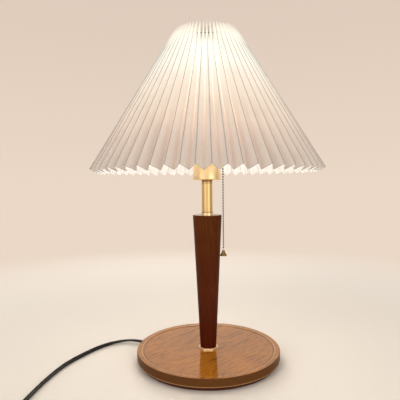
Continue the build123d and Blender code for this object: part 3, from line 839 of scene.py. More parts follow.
class PleatForm:
    """Where the folds of the sheet run: straight lines from the top edge to the hem."""

    def __init__(self, shade):
        self.shade = shade
        self.flare = shade.hem_radius - shade.top_radius
        self.slant = math.hypot(self.flare, shade.drop)
        self.half_pleat = math.pi / shade.pleat_count
        lift = shade.thickness / 2 * self.flare / self.slant
        self.top_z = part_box("pleated_shade")[1].z - lift

    def depth(self, radius):
        """Depth of the pleats, square to the slant, where the outer folds have this radius."""
        opening = 1 - math.cos(self.half_pleat)
        lean = radius * self.shade.drop / self.slant * opening
        return lean + math.sqrt(lean**2 + self.shade.pleat_width**2 - 2 * radius**2 * opening)

    def place(self, radius, height, depth):
        """Radius and height of a point this deep inside the outer folds."""
        inwards = depth * self.shade.drop / self.slant
        return radius - inwards, height - depth * self.flare / self.slant

    def fold(self, end, outer_fold, side):
        """Radius, height and half width of a fold at one end, on the outer (1) or inner (-1) skin.

        A fold's outside is a narrow flat, and its inside a sharp valley.
        """
        thick = self.shade.thickness
        width = self.shade.pleat_width
        radius = self.shade.top_radius if end == 0 else self.shade.hem_radius
        height = self.top_z - end * self.shade.drop
        depth = self.depth(radius)
        rise = math.sqrt(width**2 - depth**2)
        flat_half = thick * (width - rise) / (2 * depth)
        mitre = thick * width / (2 * rise)
        if outer_fold == (side > 0):
            inside = -thick / 2 if outer_fold else depth + thick / 2
            return (*self.place(radius, height, inside), flat_half)
        inside = mitre if outer_fold else depth - mitre
        return (*self.place(radius, height, inside), VALLEY_HALF)

    def fold_ends(self, index, side, shift):
        """Left and right points of one fold, each as its top and its hem point."""
        angle = (index + 1) * self.half_pleat
        outer_fold = index % 2 == 0
        ends = []
        for hand in (-1, 1):
            pair = []
            for end in (0, 1):
                radius, height, half = self.fold(end, outer_fold, side)
                turn = angle + (hand * half + end * shift) / radius
                pair.append(polar(radius, turn, height))
            ends.append(pair)
        return ends

    def thread_ring(self):
        """Radius and height of the lacing thread, part-way into the pleats at the carrier's ring."""
        low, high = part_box("lacing_thread")
        return (high.x - low.x) / 2 - LACING_RADIUS, (low.z + high.z) / 2


def sheet_columns(form, side, shifts):
    """Columns of one skin, each as top point, hem point, fold value and bow share with its panel."""
    folds = [form.fold_ends(k, side, shifts[k]) for k in range(len(shifts))]
    columns = []
    for k, (left, right) in enumerate(folds):
        here = 1.0 if k % 2 == 0 else 0.0
        columns.append((*left, here, 0.0, k))
        columns.append((*right, here, 0.0, k))
        following = folds[(k + 1) % len(folds)][0]
        for share in PANEL_SHARES:
            top = right[0].lerp(following[0], share)
            hem = right[1].lerp(following[1], share)
            value = here + (1 - 2 * here) * share
            columns.append((top, hem, value, math.sin(math.pi * share), k))
    return columns


def sheet_mesh(form, shifts, bows):
    """Points, faces and point values of the whole pleated sheet, both skins and both cut edges."""
    points = []
    values = []
    faces = []
    per_column = SHADE_ROWS + 1
    for side in (1, -1):
        for top, hem, fold, bow_share, panel in sheet_columns(form, side, shifts):
            across = Vector((top.y, -top.x, 0)).cross(hem - top).normalized()
            sideways = across.cross(hem - top).normalized()
            for row in range(per_column):
                share = row / SHADE_ROWS
                bow = bows[panel] * bow_share * math.sin(math.pi * share)
                points.append(top.lerp(hem, share) + sideways * bow)
                values.append((fold, share * form.slant, 1.0 if side > 0 else 0.0))
    count = len(points) // (2 * per_column)
    for c in range(count):
        after = (c + 1) % count
        for row in range(SHADE_ROWS):
            for skin in (0, count):
                one = (skin + c) * per_column + row
                other = (skin + after) * per_column + row
                faces.append([one, other, other + 1, one + 1])
        for row in (0, SHADE_ROWS):
            edge = [c, after, count + after, count + c]
            faces.append([column * per_column + row for column in edge])
    return points, faces, values


def seam_mesh(form, shifts):
    """The sheet's glued end, a narrow second layer inside one panel at the back."""
    columns = [column for column in sheet_columns(form, -1, shifts) if column[-1] == SEAM_PANEL]
    # The layer starts past the two columns of the fold and the one beside them
    first_top, first_hem = columns[3][:2]
    last_top, last_hem = columns[-1][:2]
    layer_share = 0.8
    near = 0.08 * MM
    far = near + form.shade.thickness * layer_share
    inwards = (last_top - first_top).cross(first_hem - first_top).normalized()
    if inwards.dot(Vector((first_top.x, first_top.y, 0))) > 0:
        inwards = -inwards
    rings = []
    for row in range(SHADE_ROWS + 1):
        share = row / SHADE_ROWS
        one = first_top.lerp(first_hem, share)
        other = last_top.lerp(last_hem, share)
        corners = ((one, near), (other, near), (other, far), (one, far))
        rings.append([corner + inwards * depth for corner, depth in corners])
    return loft(rings)


def pleated_cotton(shade, form):
    """Cotton laminated on a stiff film and pleated by pressing.

    It is matt and off-white outside and white inside. A painted glow, an emission that stands in for the
    bulb's light coming through, is strongest level with the bulb and fades towards the hem, and it is
    brighter at the inner folds than at the outer ones. Painted shade darkens the cloth at the outer folds
    and along the hem. Its thread spacing is drawn at 1.3 mm, coarser than real, so that it shows.
    """
    material, tree, shader = start_material(
        "Pleated cotton laminate",
        Roughness=0.85,
        Sheen_Weight=0.15,
        Specular_IOR_Level=0.2,
        Emission_Strength=GLOW_STRENGTH,
    )
    thread_spacing = 1.3 * MM
    slub_length = 14 * MM
    slub_width = 1.6 * MM
    cloud_size = 30 * MM
    cut_edge = 1.6 * MM
    fold, slant, skin = (
        add_node(tree, "Attribute", result="Fac", attribute_name=name) for name in SHEET_VALUES
    )
    place = add_node(tree, "TexCoord", result="Object")
    across = add_node(tree, "Math", {0: fold, 1: shade.pleat_width}, operation="MULTIPLY")
    cloth = add_node(tree, "CombineXYZ", {0: across, 1: slant})

    # Crossing threads, slubs in the yarn and slow changes from place to place
    thread = {"Vector": cloth, "Scale": WAVE_LENGTH / thread_spacing, "Distortion": 1.5, "Detail": 1.0}
    warp, weft = (add_node(tree, "TexWave", thread, "Fac", bands_direction=way) for way in ("X", "Y"))
    weave = add_node(tree, "Math", {0: warp, 1: weft}, operation="ADD")
    slub = (1 / slub_width, 1 / slub_length, 1.0)
    stretch = add_node(tree, "VectorMath", {0: cloth, 1: slub}, operation="MULTIPLY")
    slubs = add_node(tree, "TexNoise", {"Vector": stretch, "Scale": 1.0, "Detail": 3.0})
    clouds = add_node(tree, "TexNoise", {"Vector": place, "Scale": 1 / cloud_size, "Detail": 2.0})
    uneven = add_node(tree, "Math", {0: slubs, 1: clouds}, operation="ADD")
    levels = {"Value": uneven, "From Min": 0.6, "From Max": 1.4, "To Min": 0.93, "To Max": 1.03}
    evenness = add_node(tree, "MapRange", levels)

    # Colour of the two skins, with painted shade at the outer folds and along the cut hem
    painted_fold_shade = add_node(tree, "ValToRGB", {"Fac": fold}, stops=grey_stops(PAINTED_FOLD_SHADE))
    tone = add_node(tree, "Math", {0: painted_fold_shade, 1: evenness}, operation="MULTIPLY")
    # Painted shade along the cut hem
    hem = {
        "Value": slant,
        "From Min": form.slant - cut_edge,
        "From Max": form.slant,
        "To Min": 1.0,
        "To Max": 0.72,
    }
    toned = add_node(tree, "Math", {0: tone, 1: add_node(tree, "MapRange", hem)}, operation="MULTIPLY")
    skins = {0: skin, MIX_A: shade.film_colour, MIX_B: shade.fabric_colour}
    plain = add_node(tree, "Mix", skins, MIX_RESULT, data_type="RGBA")
    shaded = {0: 1.0, MIX_A: plain, MIX_B: toned}
    tint = add_node(tree, "Mix", shaded, MIX_RESULT, data_type="RGBA", blend_type="MULTIPLY")

    # Painted glow that stands in for light through the sheet, and an even painted glow on the white film
    # inside
    lines = add_node(tree, "ValToRGB", {"Fac": fold}, stops=grey_stops(FOLD_LIGHT))
    crown = add_node(tree, "ValToRGB", {"Fac": fold}, stops=grey_stops(CROWN_LIGHT))
    thread_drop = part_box("pleated_shade")[1].z - form.thread_ring()[1]
    lacing = thread_drop * form.slant / shade.drop
    drawn = {
        "Value": slant,
        "From Min": lacing * 0.8,
        "From Max": lacing * 1.8,
        "To Min": 1.0,
        "To Max": 0.0,
    }
    parts = {0: add_node(tree, "MapRange", drawn), MIX_A: lines, MIX_B: crown}
    through = add_node(tree, "Mix", parts, MIX_RESULT, data_type="RGBA")
    lined = add_node(tree, "Math", {0: through, 1: evenness}, operation="MULTIPLY")
    share = add_node(tree, "Math", {0: slant, 1: form.slant}, operation="DIVIDE")
    glow_stops = [(position, linear(hex_code)) for position, hex_code in GLOW_COLOURS]
    glow = add_node(tree, "ValToRGB", {"Fac": share}, stops=glow_stops)
    dimmed = {0: 1.0, MIX_A: glow, MIX_B: lined}
    lit = add_node(tree, "Mix", dimmed, MIX_RESULT, data_type="RGBA", blend_type="MULTIPLY")
    sides = {0: skin, MIX_A: linear(LINING_GLOW), MIX_B: lit}
    light = add_node(tree, "Mix", sides, MIX_RESULT, data_type="RGBA")

    bump = add_node(tree, "Bump", {"Height": weave, "Strength": 0.25, "Distance": 0.1 * MM})
    feed(shader, Base_Color=tint, Emission_Color=light, Normal=bump)
    return material


def lacing_thread_finish(shade):
    """Waxed cotton thread: twisted, dull and a little darker than the sheet."""
    material, tree, shader = start_material("Waxed cotton thread", Roughness=0.7)
    mottle(tree, shader, size=2 * MM, detail=2.0, colours=(linear("#6B5848"), shade.thread_colour))
    return material


class LAMP_OT_make_shade(bpy.types.Operator):
    """Pleated sheet with its glued seam, and the thread that laces it to the carrier"""

    bl_idname = "lamp.make_shade"
    bl_label = "Make shade"

    def execute(self, context):
        shade = context.scene.lamp_shade
        form = PleatForm(shade)
        hand = random.Random(7)
        folds = 2 * shade.pleat_count
        shifts = [hand.uniform(-1, 1) * shade.slackness for _ in range(folds)]
        bows = [hand.uniform(-1, 1) * shade.slackness for _ in range(folds)]
        cotton = pleated_cotton(shade, form)
        points, faces, values = sheet_mesh(form, shifts, bows)
        sheet = make_piece("pleated_sheet", points, faces, cotton, "lamp", sharp=45.0)
        for place, name in enumerate(SHEET_VALUES):
            attribute = sheet.data.attributes.new(name, "FLOAT", "POINT")
            attribute.data.foreach_set("value", [value[place] for value in values])
        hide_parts("pleated_shade")
        seam_points, seam_faces = seam_mesh(form, shifts)
        seam = make_piece("lap_seam", seam_points, seam_faces, cotton, "lamp")
        thread = self.make_thread(form, shade)
        return {"FINISHED"}

    def make_thread(self, form, shade):
        """Two-ply thread drawn round through every pleat."""
        radius, height = form.thread_ring()
        twists = 110
        steps = twists * 8
        sides = 6
        ply_offset = 0.85
        points = []
        faces = []
        for ply in (0, math.pi):
            rings = []
            for k in range(steps):
                angle = FULL_TURN * k / steps
                twist = twists * angle + ply
                ring = []
                for side in range(sides):
                    round_ply = FULL_TURN * side / sides
                    out = ply_offset * math.cos(twist) + math.cos(round_ply)
                    rise = ply_offset * math.sin(twist) + math.sin(round_ply)
                    reach = radius + shade.thread_radius * out
                    ring.append(polar(reach, angle, height + shade.thread_radius * rise))
                rings.append(ring)
            ply_points, ply_faces = loft(rings, closed=True)
            start = len(points)
            points += ply_points
            faces += [[start + corner for corner in face] for face in ply_faces]
        finish = lacing_thread_finish(shade)
        thread = make_piece("lacing_cord", points, faces, finish, "lamp", sharp=180.0)
        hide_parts("lacing_thread")
        return thread


# Wood

# Marks along the grain: length, width, detail and distortion of the noise that draws them, the levels
# of that noise where a mark starts and is full, and the mark's strength there
PORES = (18 * MM, 1.4 * MM, 2.0, 0.0, 0.54, 0.72, 0.7)
STREAKS = (45 * MM, 3 * MM, 3.0, 0.8, 0.52, 0.64, 1.0)
PATCH_SIZE = 50 * MM
FIGURE_SIZE = 45 * MM


def lacquered_walnut(name, wood, pale, dark, gloss, flame, grain_turn, pith, tilt):
    """Stained walnut under clear lacquer.

    Growth rings show as arches on a flat board and as long stripes on a turned post, short dark
    pores and flames run with the grain, and the lacquer gives a clear gloss. The pores are drawn
    about three times as wide as real ones, so that they show.
    """
    material, tree, shader = start_material(
        name, IOR=1.5, Specular_IOR_Level=0.02, Coat_Weight=gloss, Coat_Roughness=0.1, Coat_IOR=2.0
    )
    place = add_node(tree, "TexCoord", result="Object")
    along = add_node(tree, "Mapping", {"Vector": place, "Rotation": grain_turn})
    board = add_node(tree, "Mapping", {"Vector": along, "Rotation": tilt, "Location": pith})
    growth = {
        "Vector": board,
        "Scale": WAVE_LENGTH / wood.ring_spacing,
        "Distortion": 3.0,
        "Detail": 3.0,
        "Detail Scale": 0.6,
    }
    rings = add_node(
        tree, "TexWave", growth, "Fac", wave_type="RINGS", rings_direction="X", wave_profile="SAW"
    )
    marks = []
    for long, wide, detail, distortion, start, full, strength in (PORES, STREAKS):
        stretch = (1 / long, 1 / wide, 1 / wide)
        lie = add_node(tree, "VectorMath", {0: along, 1: stretch}, operation="MULTIPLY")
        noise = {"Vector": lie, "Scale": 1.0, "Detail": detail, "Distortion": distortion}
        levels = {"From Min": start, "From Max": full, "To Max": strength}
        marks.append(add_node(tree, "MapRange", {"Value": add_node(tree, "TexNoise", noise), **levels}))
    pores, streaks = marks
    patch = add_node(tree, "TexNoise", {"Vector": along, "Scale": 1 / PATCH_SIZE, "Detail": 1.0})
    levels = {"Value": patch, "From Min": 0.42, "From Max": 0.58, "To Max": flame}
    patches = add_node(tree, "MapRange", levels)
    flames = add_node(tree, "Math", {0: streaks, 1: patches}, operation="MULTIPLY")
    figure = add_node(tree, "TexNoise", {"Vector": along, "Scale": 1 / FIGURE_SIZE, "Detail": 3.0})
    ring_stops = [(0.0, pale), (0.55, pale), (0.93, dark), (1.0, pale)]
    tint = add_node(tree, "ValToRGB", {"Fac": rings}, stops=ring_stops)
    for share, over in ((figure, dark), (flames, wood.flame_colour), (pores, wood.pore_and_corner_shade_colour)):
        colours = {0: share, MIX_A: tint, MIX_B: over}
        tint = add_node(tree, "Mix", colours, MIX_RESULT, data_type="RGBA")
    rough = add_node(tree, "MapRange", {"Value": pores, "To Min": 0.4, "To Max": 0.6})
    hollow = {"Height": pores, "Strength": 0.2, "Distance": 0.1 * MM}
    bump = add_node(tree, "Bump", hollow, invert=True)
    feed(shader, Base_Color=tint, Roughness=rough, Normal=bump)
    return material


def reopen(material):
    """A material's tree and shader, its colour so far, and the place and height on the lamp."""
    tree = material.node_tree
    shader = tree.nodes["Principled BSDF"]
    so_far = shader.inputs["Base Color"].links[0].from_socket
    place = add_node(tree, "TexCoord", result="Object")
    rise = add_node(tree, "SeparateXYZ", {0: place}, "Z")
    return tree, shader, so_far, place, rise


def lay_bands(tree, tint, layers):
    """Lay colours over a tint, each where all its bands (measure, middle, half width) meet."""
    for bands, cover, over in layers:
        share = cover
        for band in bands:
            inside = add_node(tree, "Math", dict(enumerate(band)), operation="COMPARE")
            share = add_node(tree, "Math", {0: inside, 1: share}, operation="MULTIPLY")
        colours = {0: share, MIX_A: tint, MIX_B: over}
        tint = add_node(tree, "Mix", colours, MIX_RESULT, data_type="RGBA")
    return tint


def finish_rim(material, wood):
    """Colour and lacquer by place: painted shade on the side and the undercut, painted shade in the
    tray's corner, and painted highlights on the lip's inner edge and the side's lower edge."""
    tree, shader, grain, place, rise = reopen(material)
    low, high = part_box("base_disc")
    outer = (high.x - low.x) / 2
    tray_depth = 1.2 * MM
    side_gloss = 0.12
    plan = add_node(tree, "VectorMath", {0: place, 1: (1.0, 1.0, 0.0)}, operation="MULTIPLY")
    reach = add_node(tree, "VectorMath", {0: plan}, "Value", operation="LENGTH")
    side = (reach, outer, 0.65 * MM)
    lip_top = (rise, high.z, 0.8 * MM)
    tray_floor = (rise, high.z - tray_depth, 0.3 * MM)
    corner = (reach, wood.lip_inner - 1.6 * MM, 0.9 * MM)
    lip_highlight = (reach, wood.lip_inner + 0.4 * MM, 1.4 * MM)
    undercut = (rise, low.z + 2.9 * MM, 3.0 * MM)
    lower_edge_highlight = (rise, low.z + 6.3 * MM, 0.5 * MM)
    layers = [
        # Painted shade on the side
        ([side], 0.92, wood.side_shade),
        # Painted shade in the tray's corner
        ([corner, tray_floor], 0.5, wood.pore_and_corner_shade_colour),
        # Painted highlight on the lip's inner edge
        ([lip_highlight, lip_top], 0.5, wood.edge_highlight_colour),
        # Painted shade on the undercut
        ([undercut], 0.92, wood.under_shade),
        # Painted highlight on the side's lower edge
        ([lower_edge_highlight, side], 0.5, wood.edge_highlight_colour),
    ]
    matt = 0.0
    for band in (side, undercut):
        inside = add_node(tree, "Math", dict(enumerate(band)), operation="COMPARE")
        matt = add_node(tree, "Math", {0: inside, 1: matt}, operation="MAXIMUM")
    tray_gloss = shader.inputs["Coat Weight"].default_value
    gloss = add_node(tree, "MapRange", {"Value": matt, "To Min": tray_gloss, "To Max": side_gloss})
    feed(shader, Base_Color=lay_bands(tree, grain, layers), Coat_Weight=gloss)


def finish_post(material, wood):
    """Stain and lacquer by place: redder and darker towards the foot, and polished on the top face."""
    tree, shader, grain, _, rise = reopen(material)
    low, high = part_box("tapered_post")
    foot_cover = 0.75
    fade = {"From Min": low.z, "From Max": high.z, "To Min": foot_cover, "To Max": 0.0}
    lower = add_node(tree, "MapRange", {"Value": rise, **fade})
    colours = {0: lower, MIX_A: grain, MIX_B: wood.foot_stain}
    stained = add_node(tree, "Mix", colours, MIX_RESULT, data_type="RGBA")
    side_gloss = shader.inputs["Coat Weight"].default_value
    top_face = {"From Min": high.z - 0.4 * MM, "From Max": high.z - 0.1 * MM, "To Min": side_gloss}
    polish = add_node(tree, "MapRange", {"Value": rise, **top_face})
    feed(shader, Base_Color=stained, Coat_Weight=polish)


def pressed_felt():
    """Pressed wool felt: dark, quite matt, with short fibres lying every way.

    The fibres are drawn as tufts of 1.5 mm, coarser than real, so that they show.
    """
    material, tree, shader = start_material("Pressed wool felt", Roughness=0.95, Sheen_Weight=0.4)
    wool = (linear("#2A2622"), linear("#57504A"))
    fibres = mottle(tree, shader, size=1.5 * MM, detail=6.0, colours=wool, distortion=1.5)
    feed(shader, Normal=add_node(tree, "Bump", {"Height": fibres, "Strength": 0.6, "Distance": 0.3 * MM}))
    return material


class LAMP_OT_finish_wood(bpy.types.Operator):
    """Walnut on the base and post, and the felt disc under the base"""

    bl_idname = "lamp.finish_wood"
    bl_label = "Finish wood"

    def execute(self, context):
        wood = context.scene.lamp_wood
        base = lacquered_walnut(
            "Lacquered walnut board",
            wood,
            wood.base_pale,
            wood.base_dark,
            gloss=1.0,
            flame=0.6,
            grain_turn=(0.0, 0.0, -wood.grain_turn),
            pith=(0.0, -20 * MM, 90 * MM),
            tilt=(0.0, math.radians(5), 0.0),
        )
        finish_rim(base, wood)
        post = lacquered_walnut(
            "Lacquered turned walnut",
            wood,
            wood.post_pale,
            wood.post_dark,
            gloss=0.04,
            flame=0.2,
            grain_turn=(0.0, QUARTER_TURN, 0.0),
            pith=(0.0, 34 * MM, 30 * MM),
            tilt=(0.0, math.radians(2), 0.0),
        )
        finish_post(post, wood)
        wear(base, "base_disc")
        wear(post, "tapered_post")
        self.make_felt()
        return {"FINISHED"}

    def make_felt(self):
        """Felt disc with a softly rounded cut edge."""
        low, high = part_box("base_felt_pad")
        radius = (high.x - low.x) / 2
        edge = (high.z - low.z) / 2
        roundness = 0.6
        steps = 8
        profile = [(0, low.z), (radius / 2, low.z), (radius - edge * 2, low.z)]
        for k in range(steps + 1):
            angle = math.pi * (k / steps - 0.5)
            bulge = edge * roundness * math.cos(angle)
            profile.append((radius - edge * roundness + bulge, low.z + edge + edge * math.sin(angle)))
        profile += [(radius - edge * 2, high.z), (radius / 2, high.z), (0, high.z)]
        points, faces = turned(profile, steps=96)
        felt = make_piece("felt_disc", points, faces, pressed_felt(), "lamp")
        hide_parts("base_felt_pad")


# Metal and the lamp holder


def satin_brass(name, plate, rough):
    """Turned brass, brushed satin and lacquered: a pale gold with fine rings from the lathe.

    The rings are drawn 1.2 mm apart, coarser than real, so that they show.
    """
    material, tree, shader = start_material(name, Metallic=1.0, Roughness=rough)
    brush_spacing = 1.2 * MM
    brush_length = 50 * MM
    rough_change = 0.02
    place = add_node(tree, "TexCoord", result="Object")
    stroke = (1 / brush_length, 1 / brush_length, 1 / brush_spacing)
    stretch = add_node(tree, "VectorMath", {0: place, 1: stroke}, operation="MULTIPLY")
    brushing = add_node(tree, "TexNoise", {"Vector": stretch, "Scale": 1.0, "Detail": 3.0})
    darker = add_node(tree, "MapRange", {"Value": brushing, "To Min": 0.94, "To Max": 1.0})
    colours = {0: 1.0, MIX_A: plate, MIX_B: darker}
    tint = add_node(tree, "Mix", colours, MIX_RESULT, data_type="RGBA", blend_type="MULTIPLY")
    levels = {"Value": brushing, "To Min": rough - rough_change, "To Max": rough + rough_change}
    feed(shader, Base_Color=tint, Roughness=add_node(tree, "MapRange", levels))
    return material


def paint_tube_end_shade(material, metal):
    """Painted shade on the neck tube, under the cup and above the collar."""
    tree, shader, brass, _, rise = reopen(material)
    under_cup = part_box("holder_cup")[0].z
    above_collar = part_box("neck_collar")[1].z
    # Painted shade under the cup and above the collar
    layers = [
        ([(rise, under_cup, 6 * MM)], 0.3, metal.tube_end_shade_colour),
        ([(rise, under_cup, 2 * MM)], 0.8, metal.tube_end_shade_colour),
        ([(rise, above_collar, 1.2 * MM)], 0.7, metal.tube_end_shade_colour),
    ]
    feed(shader, Base_Color=lay_bands(tree, brass, layers))


def plated_metal(name, plate, rough, patina, patch, **sockets):
    """Plated or aged metal: an even plate with faint cloudy patches of wear."""
    material, tree, shader = start_material(name, Metallic=1.0, Roughness=rough, **sockets)
    gloss = (rough * 1.3, rough * 0.8)
    mottle(tree, shader, size=patch, detail=4.0, colours=(linear(patina), plate), gloss=gloss)
    return material


def moulded(name, pale, dark, rough, speckle):
    """Moulded or fired insulator: one body colour with a fine mottle and a soft gloss."""
    material, tree, shader = start_material(name, Roughness=rough, IOR=1.55)
    colours = (linear(dark), linear(pale))
    mottle(tree, shader, size=speckle, detail=4.0, colours=colours, gloss=(rough * 0.85, rough * 1.15))
    return material


class LAMP_OT_finish_metal(bpy.types.Operator):
    """Satin brass fittings, zinc-plated rod and nuts, and the white wire carrier"""

    bl_idname = "lamp.finish_metal"
    bl_label = "Finish metal"

    def execute(self, context):
        metal = context.scene.lamp_metal
        brass = satin_brass("Satin brass", metal.brass_colour, rough=0.28)
        wear(brass, "post_foot_ring", "neck_collar", "holder_cup", "chain_guide")
        tube = satin_brass("Satin brass tube", metal.tube_colour, rough=0.3)
        paint_tube_end_shade(tube, metal)
        wear(tube, "neck_tube")
        # Zinc plate: a cool pale grey with duller clouds
        zinc = plated_metal("Zinc-plated steel", metal.zinc_colour, 0.32, "#8E9196", patch=6 * MM)
        wear(zinc, "rod_washer", "rod_nut", "threaded_rod", "cup_lock_nut", "guide_nut")
        # Baked powder: a warm white with the fine pebble of its grains
        powder = moulded("White powder coat", "#F2F0EB", "#E4E1DA", 0.45, speckle=0.8 * MM)
        wear(powder, "shade_top_ring", "shade_arms", "shade_fitter_ring")
        return {"FINISHED"}


class LAMP_OT_finish_holder(bpy.types.Operator):
    """Insulators, screw shell, contacts and leads of the lamp holder"""

    bl_idname = "lamp.finish_holder"
    bl_label = "Finish lamp holder"

    def execute(self, context):
        # Pressed resin: a deep brownish black with a smooth gloss
        phenolic = moulded("Black phenolic resin", "#1F1B18", "#120F0D", 0.3, speckle=3 * MM)
        wear(phenolic, "switch_box", "holder_sleeve", "shade_ring_nut")
        # Fired and glazed: a creamy white, a little uneven
        steatite = moulded("Glazed steatite", "#EDE7DA", "#DAD2C2", 0.35, speckle=4 * MM)
        wear(steatite, "holder_seat")
        # Drawn sheet: a plain yellow, browner where it has been handled
        shell = plated_metal("Drawn brass", linear("#D8AE62"), 0.28, "#A67C3C", patch=5 * MM)
        wear(shell, "screw_shell", "centre_contact")
        # Extruded sheath: brown and half matt
        leads = moulded("Brown PVC insulation", "#6B4A30", "#4E3420", 0.45, speckle=5 * MM)
        wear(leads, "inner_leads")
        return {"FINISHED"}


# Pull chain

# Outline of the spun bell from its knob over the rim into the hollow, as shares of radius and height
BELL_OUTLINE = (
    (0.0, 1.0),
    (0.20, 1.0),
    (0.33, 0.97),
    (0.39, 0.90),
    (0.36, 0.83),
    (0.40, 0.76),
    (0.50, 0.62),
    (0.60, 0.47),
    (0.72, 0.32),
    (0.87, 0.20),
    (0.97, 0.13),
    (1.0, 0.07),
    (0.98, 0.02),
    (0.94, 0.0),
    (0.88, 0.03),
    (0.72, 0.20),
    (0.60, 0.27),
    (0.0, 0.27),
)


class LAMP_OT_make_chain(bpy.types.Operator):
    """Ball chain in its three swinging lengths, with the bell-shaped pull"""

    bl_idname = "lamp.make_chain"
    bl_label = "Make pull chain"

    def execute(self, context):
        metal = context.scene.lamp_metal
        # Brass left bare: nearly black with age, and dull at its edges too
        aged = plated_metal(
            "Aged brass",
            metal.aged_colour,
            0.35,
            "#100A05",
            patch=2 * MM,
            Specular_Tint=linear("#4A3A28"),
        )
        bell_low, bell_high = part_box("pull_bell")
        centre = (bell_low + bell_high) / 2
        place = Matrix.Translation((centre.x, centre.y, 0))
        pivot_z = bell_high.z + metal.hanging_beads * metal.bead_pitch
        lengths = {
            "chain_head": ("ball_chain_head", -3, 1),
            "chain_link": ("ball_chain_link", 1, 2),
            "pull_chain": ("ball_chain_drop", 2, metal.hanging_beads),
        }
        for node, (name, first, last) in lengths.items():
            low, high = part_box(node)
            profile = self.bead_profile(metal, pivot_z, range(first, last), high.z, low.z)
            points, faces = turned(profile, steps=14, place=place)
            strand = make_piece(name, points, faces, aged, node, sharp=60.0)
            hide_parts(node)
        self.make_bell(metal, place, bell_low, bell_high)
        return {"FINISHED"}

    def bead_profile(self, metal, pivot_z, beads, top_z, end_z):
        """Balls joined by short wires, from the top end down, closed on the axis at both ends."""
        opening = math.asin(metal.link_radius / metal.bead_radius)
        steps = 8
        shortest_wire = 0.01 * MM
        profile = [(0, top_z)]
        first_top = pivot_z - beads[0] * metal.bead_pitch + metal.bead_radius
        if top_z > first_top:
            profile.append((metal.link_radius, top_z))
        for bead in beads:
            middle = pivot_z - bead * metal.bead_pitch
            for k in range(steps + 1):
                angle = opening + (math.pi - 2 * opening) * k / steps
                ring = metal.bead_radius * math.sin(angle)
                profile.append((ring, middle + metal.bead_radius * math.cos(angle)))
        if end_z < profile[-1][1] - shortest_wire:
            profile.append((metal.link_radius, end_z))
        profile.append((0, end_z))
        return profile

    def make_bell(self, metal, place, low, high):
        """Spun bell: knob, flaring skirt, rolled rim and a shallow hollow."""
        # Handled brass: brighter than the chain, with browner clouds
        bright = plated_metal("Bell brass", metal.bell_colour, 0.14, "#6B4F28", patch=4 * MM)
        rim = (high.x - low.x) / 2
        tall = high.z - low.z
        profile = [(rim * across, low.z + tall * rise) for across, rise in BELL_OUTLINE]
        points, faces = turned(profile, steps=40, place=place)
        bell = make_piece("chain_bell", points, faces, bright, "pull_chain", sharp=50.0)
        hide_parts("pull_bell")


# Bulb


def opal_glass(bulb, globe_low, globe_high):
    """Opal glass lit from within: a soft even white that falls off towards the neck."""
    material, tree, shader = start_material(
        "Lit opal glass",
        Base_Color=bulb.glass_colour,
        Roughness=0.22,
        IOR=1.5,
        Emission_Strength=bulb.light_strength,
    )
    neck_share = 0.35
    place = add_node(tree, "TexCoord", result="Object")
    rise = add_node(tree, "SeparateXYZ", {0: place}, "Z")
    middle_z = (globe_low.z + globe_high.z) / 2
    limits = {"Value": rise, "From Min": globe_low.z, "From Max": middle_z, "To Min": neck_share}
    fade = add_node(tree, "MapRange", limits, interpolation_type="SMOOTHSTEP")
    colours = {0: 1.0, MIX_A: bulb.light_colour, MIX_B: fade}
    glow = add_node(tree, "Mix", colours, MIX_RESULT, data_type="RGBA", blend_type="MULTIPLY")
    feed(shader, Emission_Color=glow)
    return material


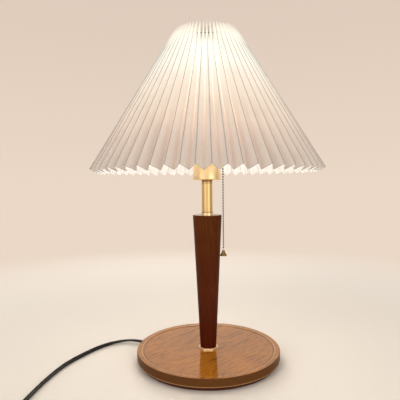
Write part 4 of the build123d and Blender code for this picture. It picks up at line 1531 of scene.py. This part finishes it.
class LAMP_OT_make_bulb(bpy.types.Operator):
    """Lit opal globe bulb with its rolled screw cap and contact"""

    bl_idname = "lamp.make_bulb"
    bl_label = "Make bulb"

    def execute(self, context):
        bulb = context.scene.lamp_bulb
        nickel_colour = context.scene.lamp_metal.nickel_colour
        # Nickel plate: a warm pale grey, quite bright
        nickel = plated_metal("Nickel-plated brass", nickel_colour, 0.22, "#A9A49A", patch=4 * MM)
        self.make_globe(bulb)
        self.make_cap(bulb, nickel)
        wear(nickel, "bulb_contact")
        return {"FINISHED"}

    def make_globe(self, bulb):
        """Ball with a neck that flares smoothly into it."""
        low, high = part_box("bulb_globe")
        centre_z = high.z - bulb.globe_radius
        flare_z = low.z + bulb.neck_length
        join = math.radians(-28)
        join_radius = bulb.globe_radius * math.cos(join)
        join_z = centre_z + bulb.globe_radius * math.sin(join)
        reach = math.hypot(join_radius - bulb.neck_radius, join_z - flare_z)
        profile = [(0, low.z), (bulb.neck_radius, low.z), (bulb.neck_radius, flare_z)]
        flare_steps = 10
        for k in range(1, flare_steps):
            t = k / flare_steps
            start = 2 * t**3 - 3 * t**2 + 1
            end = 3 * t**2 - 2 * t**3
            leave = t**3 - 2 * t**2 + t
            arrive = t**3 - t**2
            radius = start * bulb.neck_radius + end * join_radius - arrive * reach * math.sin(join)
            height = start * flare_z + end * join_z + reach * (leave + arrive * math.cos(join))
            profile.append((radius, height))
        ball_steps = 22
        for k in range(ball_steps):
            angle = join + (QUARTER_TURN - join) * k / ball_steps
            radius = bulb.globe_radius * math.cos(angle)
            profile.append((radius, centre_z + bulb.globe_radius * math.sin(angle)))
        profile.append((0, high.z))
        points, faces = turned(profile, steps=64)
        glass = opal_glass(bulb, low, high)
        globe = make_piece("opal_globe", points, faces, glass, "bulb")
        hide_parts("bulb_globe")

    def make_cap(self, bulb, nickel):
        """Screw cap with a rolled round thread that climbs one pitch in each turn."""
        low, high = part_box("bulb_cap")
        crest = (high.x - low.x) / 2
        mean = crest - bulb.thread_depth / 2
        thread_start = low.z + 4.5 * MM
        thread_end = high.z - 4 * MM
        tip_radius = 8 * MM
        steps = 48
        rows = 60
        runout_rows = 6
        # Radius, height and half depth of the thread at each ring, from the tip up
        levels = [
            (tip_radius, low.z, 0.0),
            (mean - 0.6 * MM, low.z + 2.6 * MM, 0.0),
            (mean, low.z + 3.4 * MM, 0.0),
        ]
        for row in range(rows + 1):
            height = thread_start + (thread_end - thread_start) * row / rows
            runout = ease(row, 0, runout_rows) - ease(row, rows - runout_rows, rows)
            levels.append((mean, height, runout * bulb.thread_depth / 2))
        levels += [(mean, high.z - 1 * MM, 0.0), (crest, high.z - 0.6 * MM, 0.0), (crest, high.z, 0.0)]
        rings = []
        for radius, height, half_depth in levels:
            ring = []
            for k in range(steps):
                angle = FULL_TURN * k / steps
                turn = FULL_TURN * height / bulb.thread_pitch - angle
                ring.append(polar(radius + half_depth * math.cos(turn), angle, height))
            rings.append(ring)
        points, faces = loft(rings)
        cap = make_piece("screw_cap", points, faces, nickel, "bulb")
        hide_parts("bulb_cap")


# Panel and registration

OPERATORS = (
    LAMP_OT_make_stage,
    LAMP_OT_make_cord,
    LAMP_OT_make_shade,
    LAMP_OT_finish_wood,
    LAMP_OT_finish_metal,
    LAMP_OT_finish_holder,
    LAMP_OT_make_chain,
    LAMP_OT_make_bulb,
)


class LAMP_PT_panel(bpy.types.Panel):
    """Lists the lamp's settings and the steps that make it"""

    bl_idname = "LAMP_PT_panel"
    bl_label = "Pleated table lamp"
    bl_space_type = "VIEW_3D"
    bl_region_type = "UI"
    bl_category = "Lamp"

    def draw(self, context):
        layout = self.layout
        for operator in OPERATORS:
            layout.operator(operator.bl_idname)
        for name, group in SETTINGS.items():
            box = layout.box()
            box.label(text=group.__doc__)
            for setting in group.__annotations__:
                box.prop(getattr(context.scene, name), setting)


def register():
    for group in SETTINGS.values():
        bpy.utils.register_class(group)
    for name, group in SETTINGS.items():
        setattr(bpy.types.Scene, name, PointerProperty(type=group))
    for operator in OPERATORS:
        bpy.utils.register_class(operator)
    bpy.utils.register_class(LAMP_PT_panel)


def unregister():
    bpy.utils.unregister_class(LAMP_PT_panel)
    for operator in reversed(OPERATORS):
        bpy.utils.unregister_class(operator)
    for name in SETTINGS:
        delattr(bpy.types.Scene, name)
    for group in reversed(list(SETTINGS.values())):
        bpy.utils.unregister_class(group)


def main():
    register()
    bpy.ops.lamp.make_stage()
    bpy.ops.lamp.make_cord()
    bpy.ops.lamp.make_shade()
    bpy.ops.lamp.finish_wood()
    bpy.ops.lamp.finish_metal()
    bpy.ops.lamp.finish_holder()
    bpy.ops.lamp.make_chain()
    bpy.ops.lamp.make_bulb()


if __name__ == "__main__":
    main()
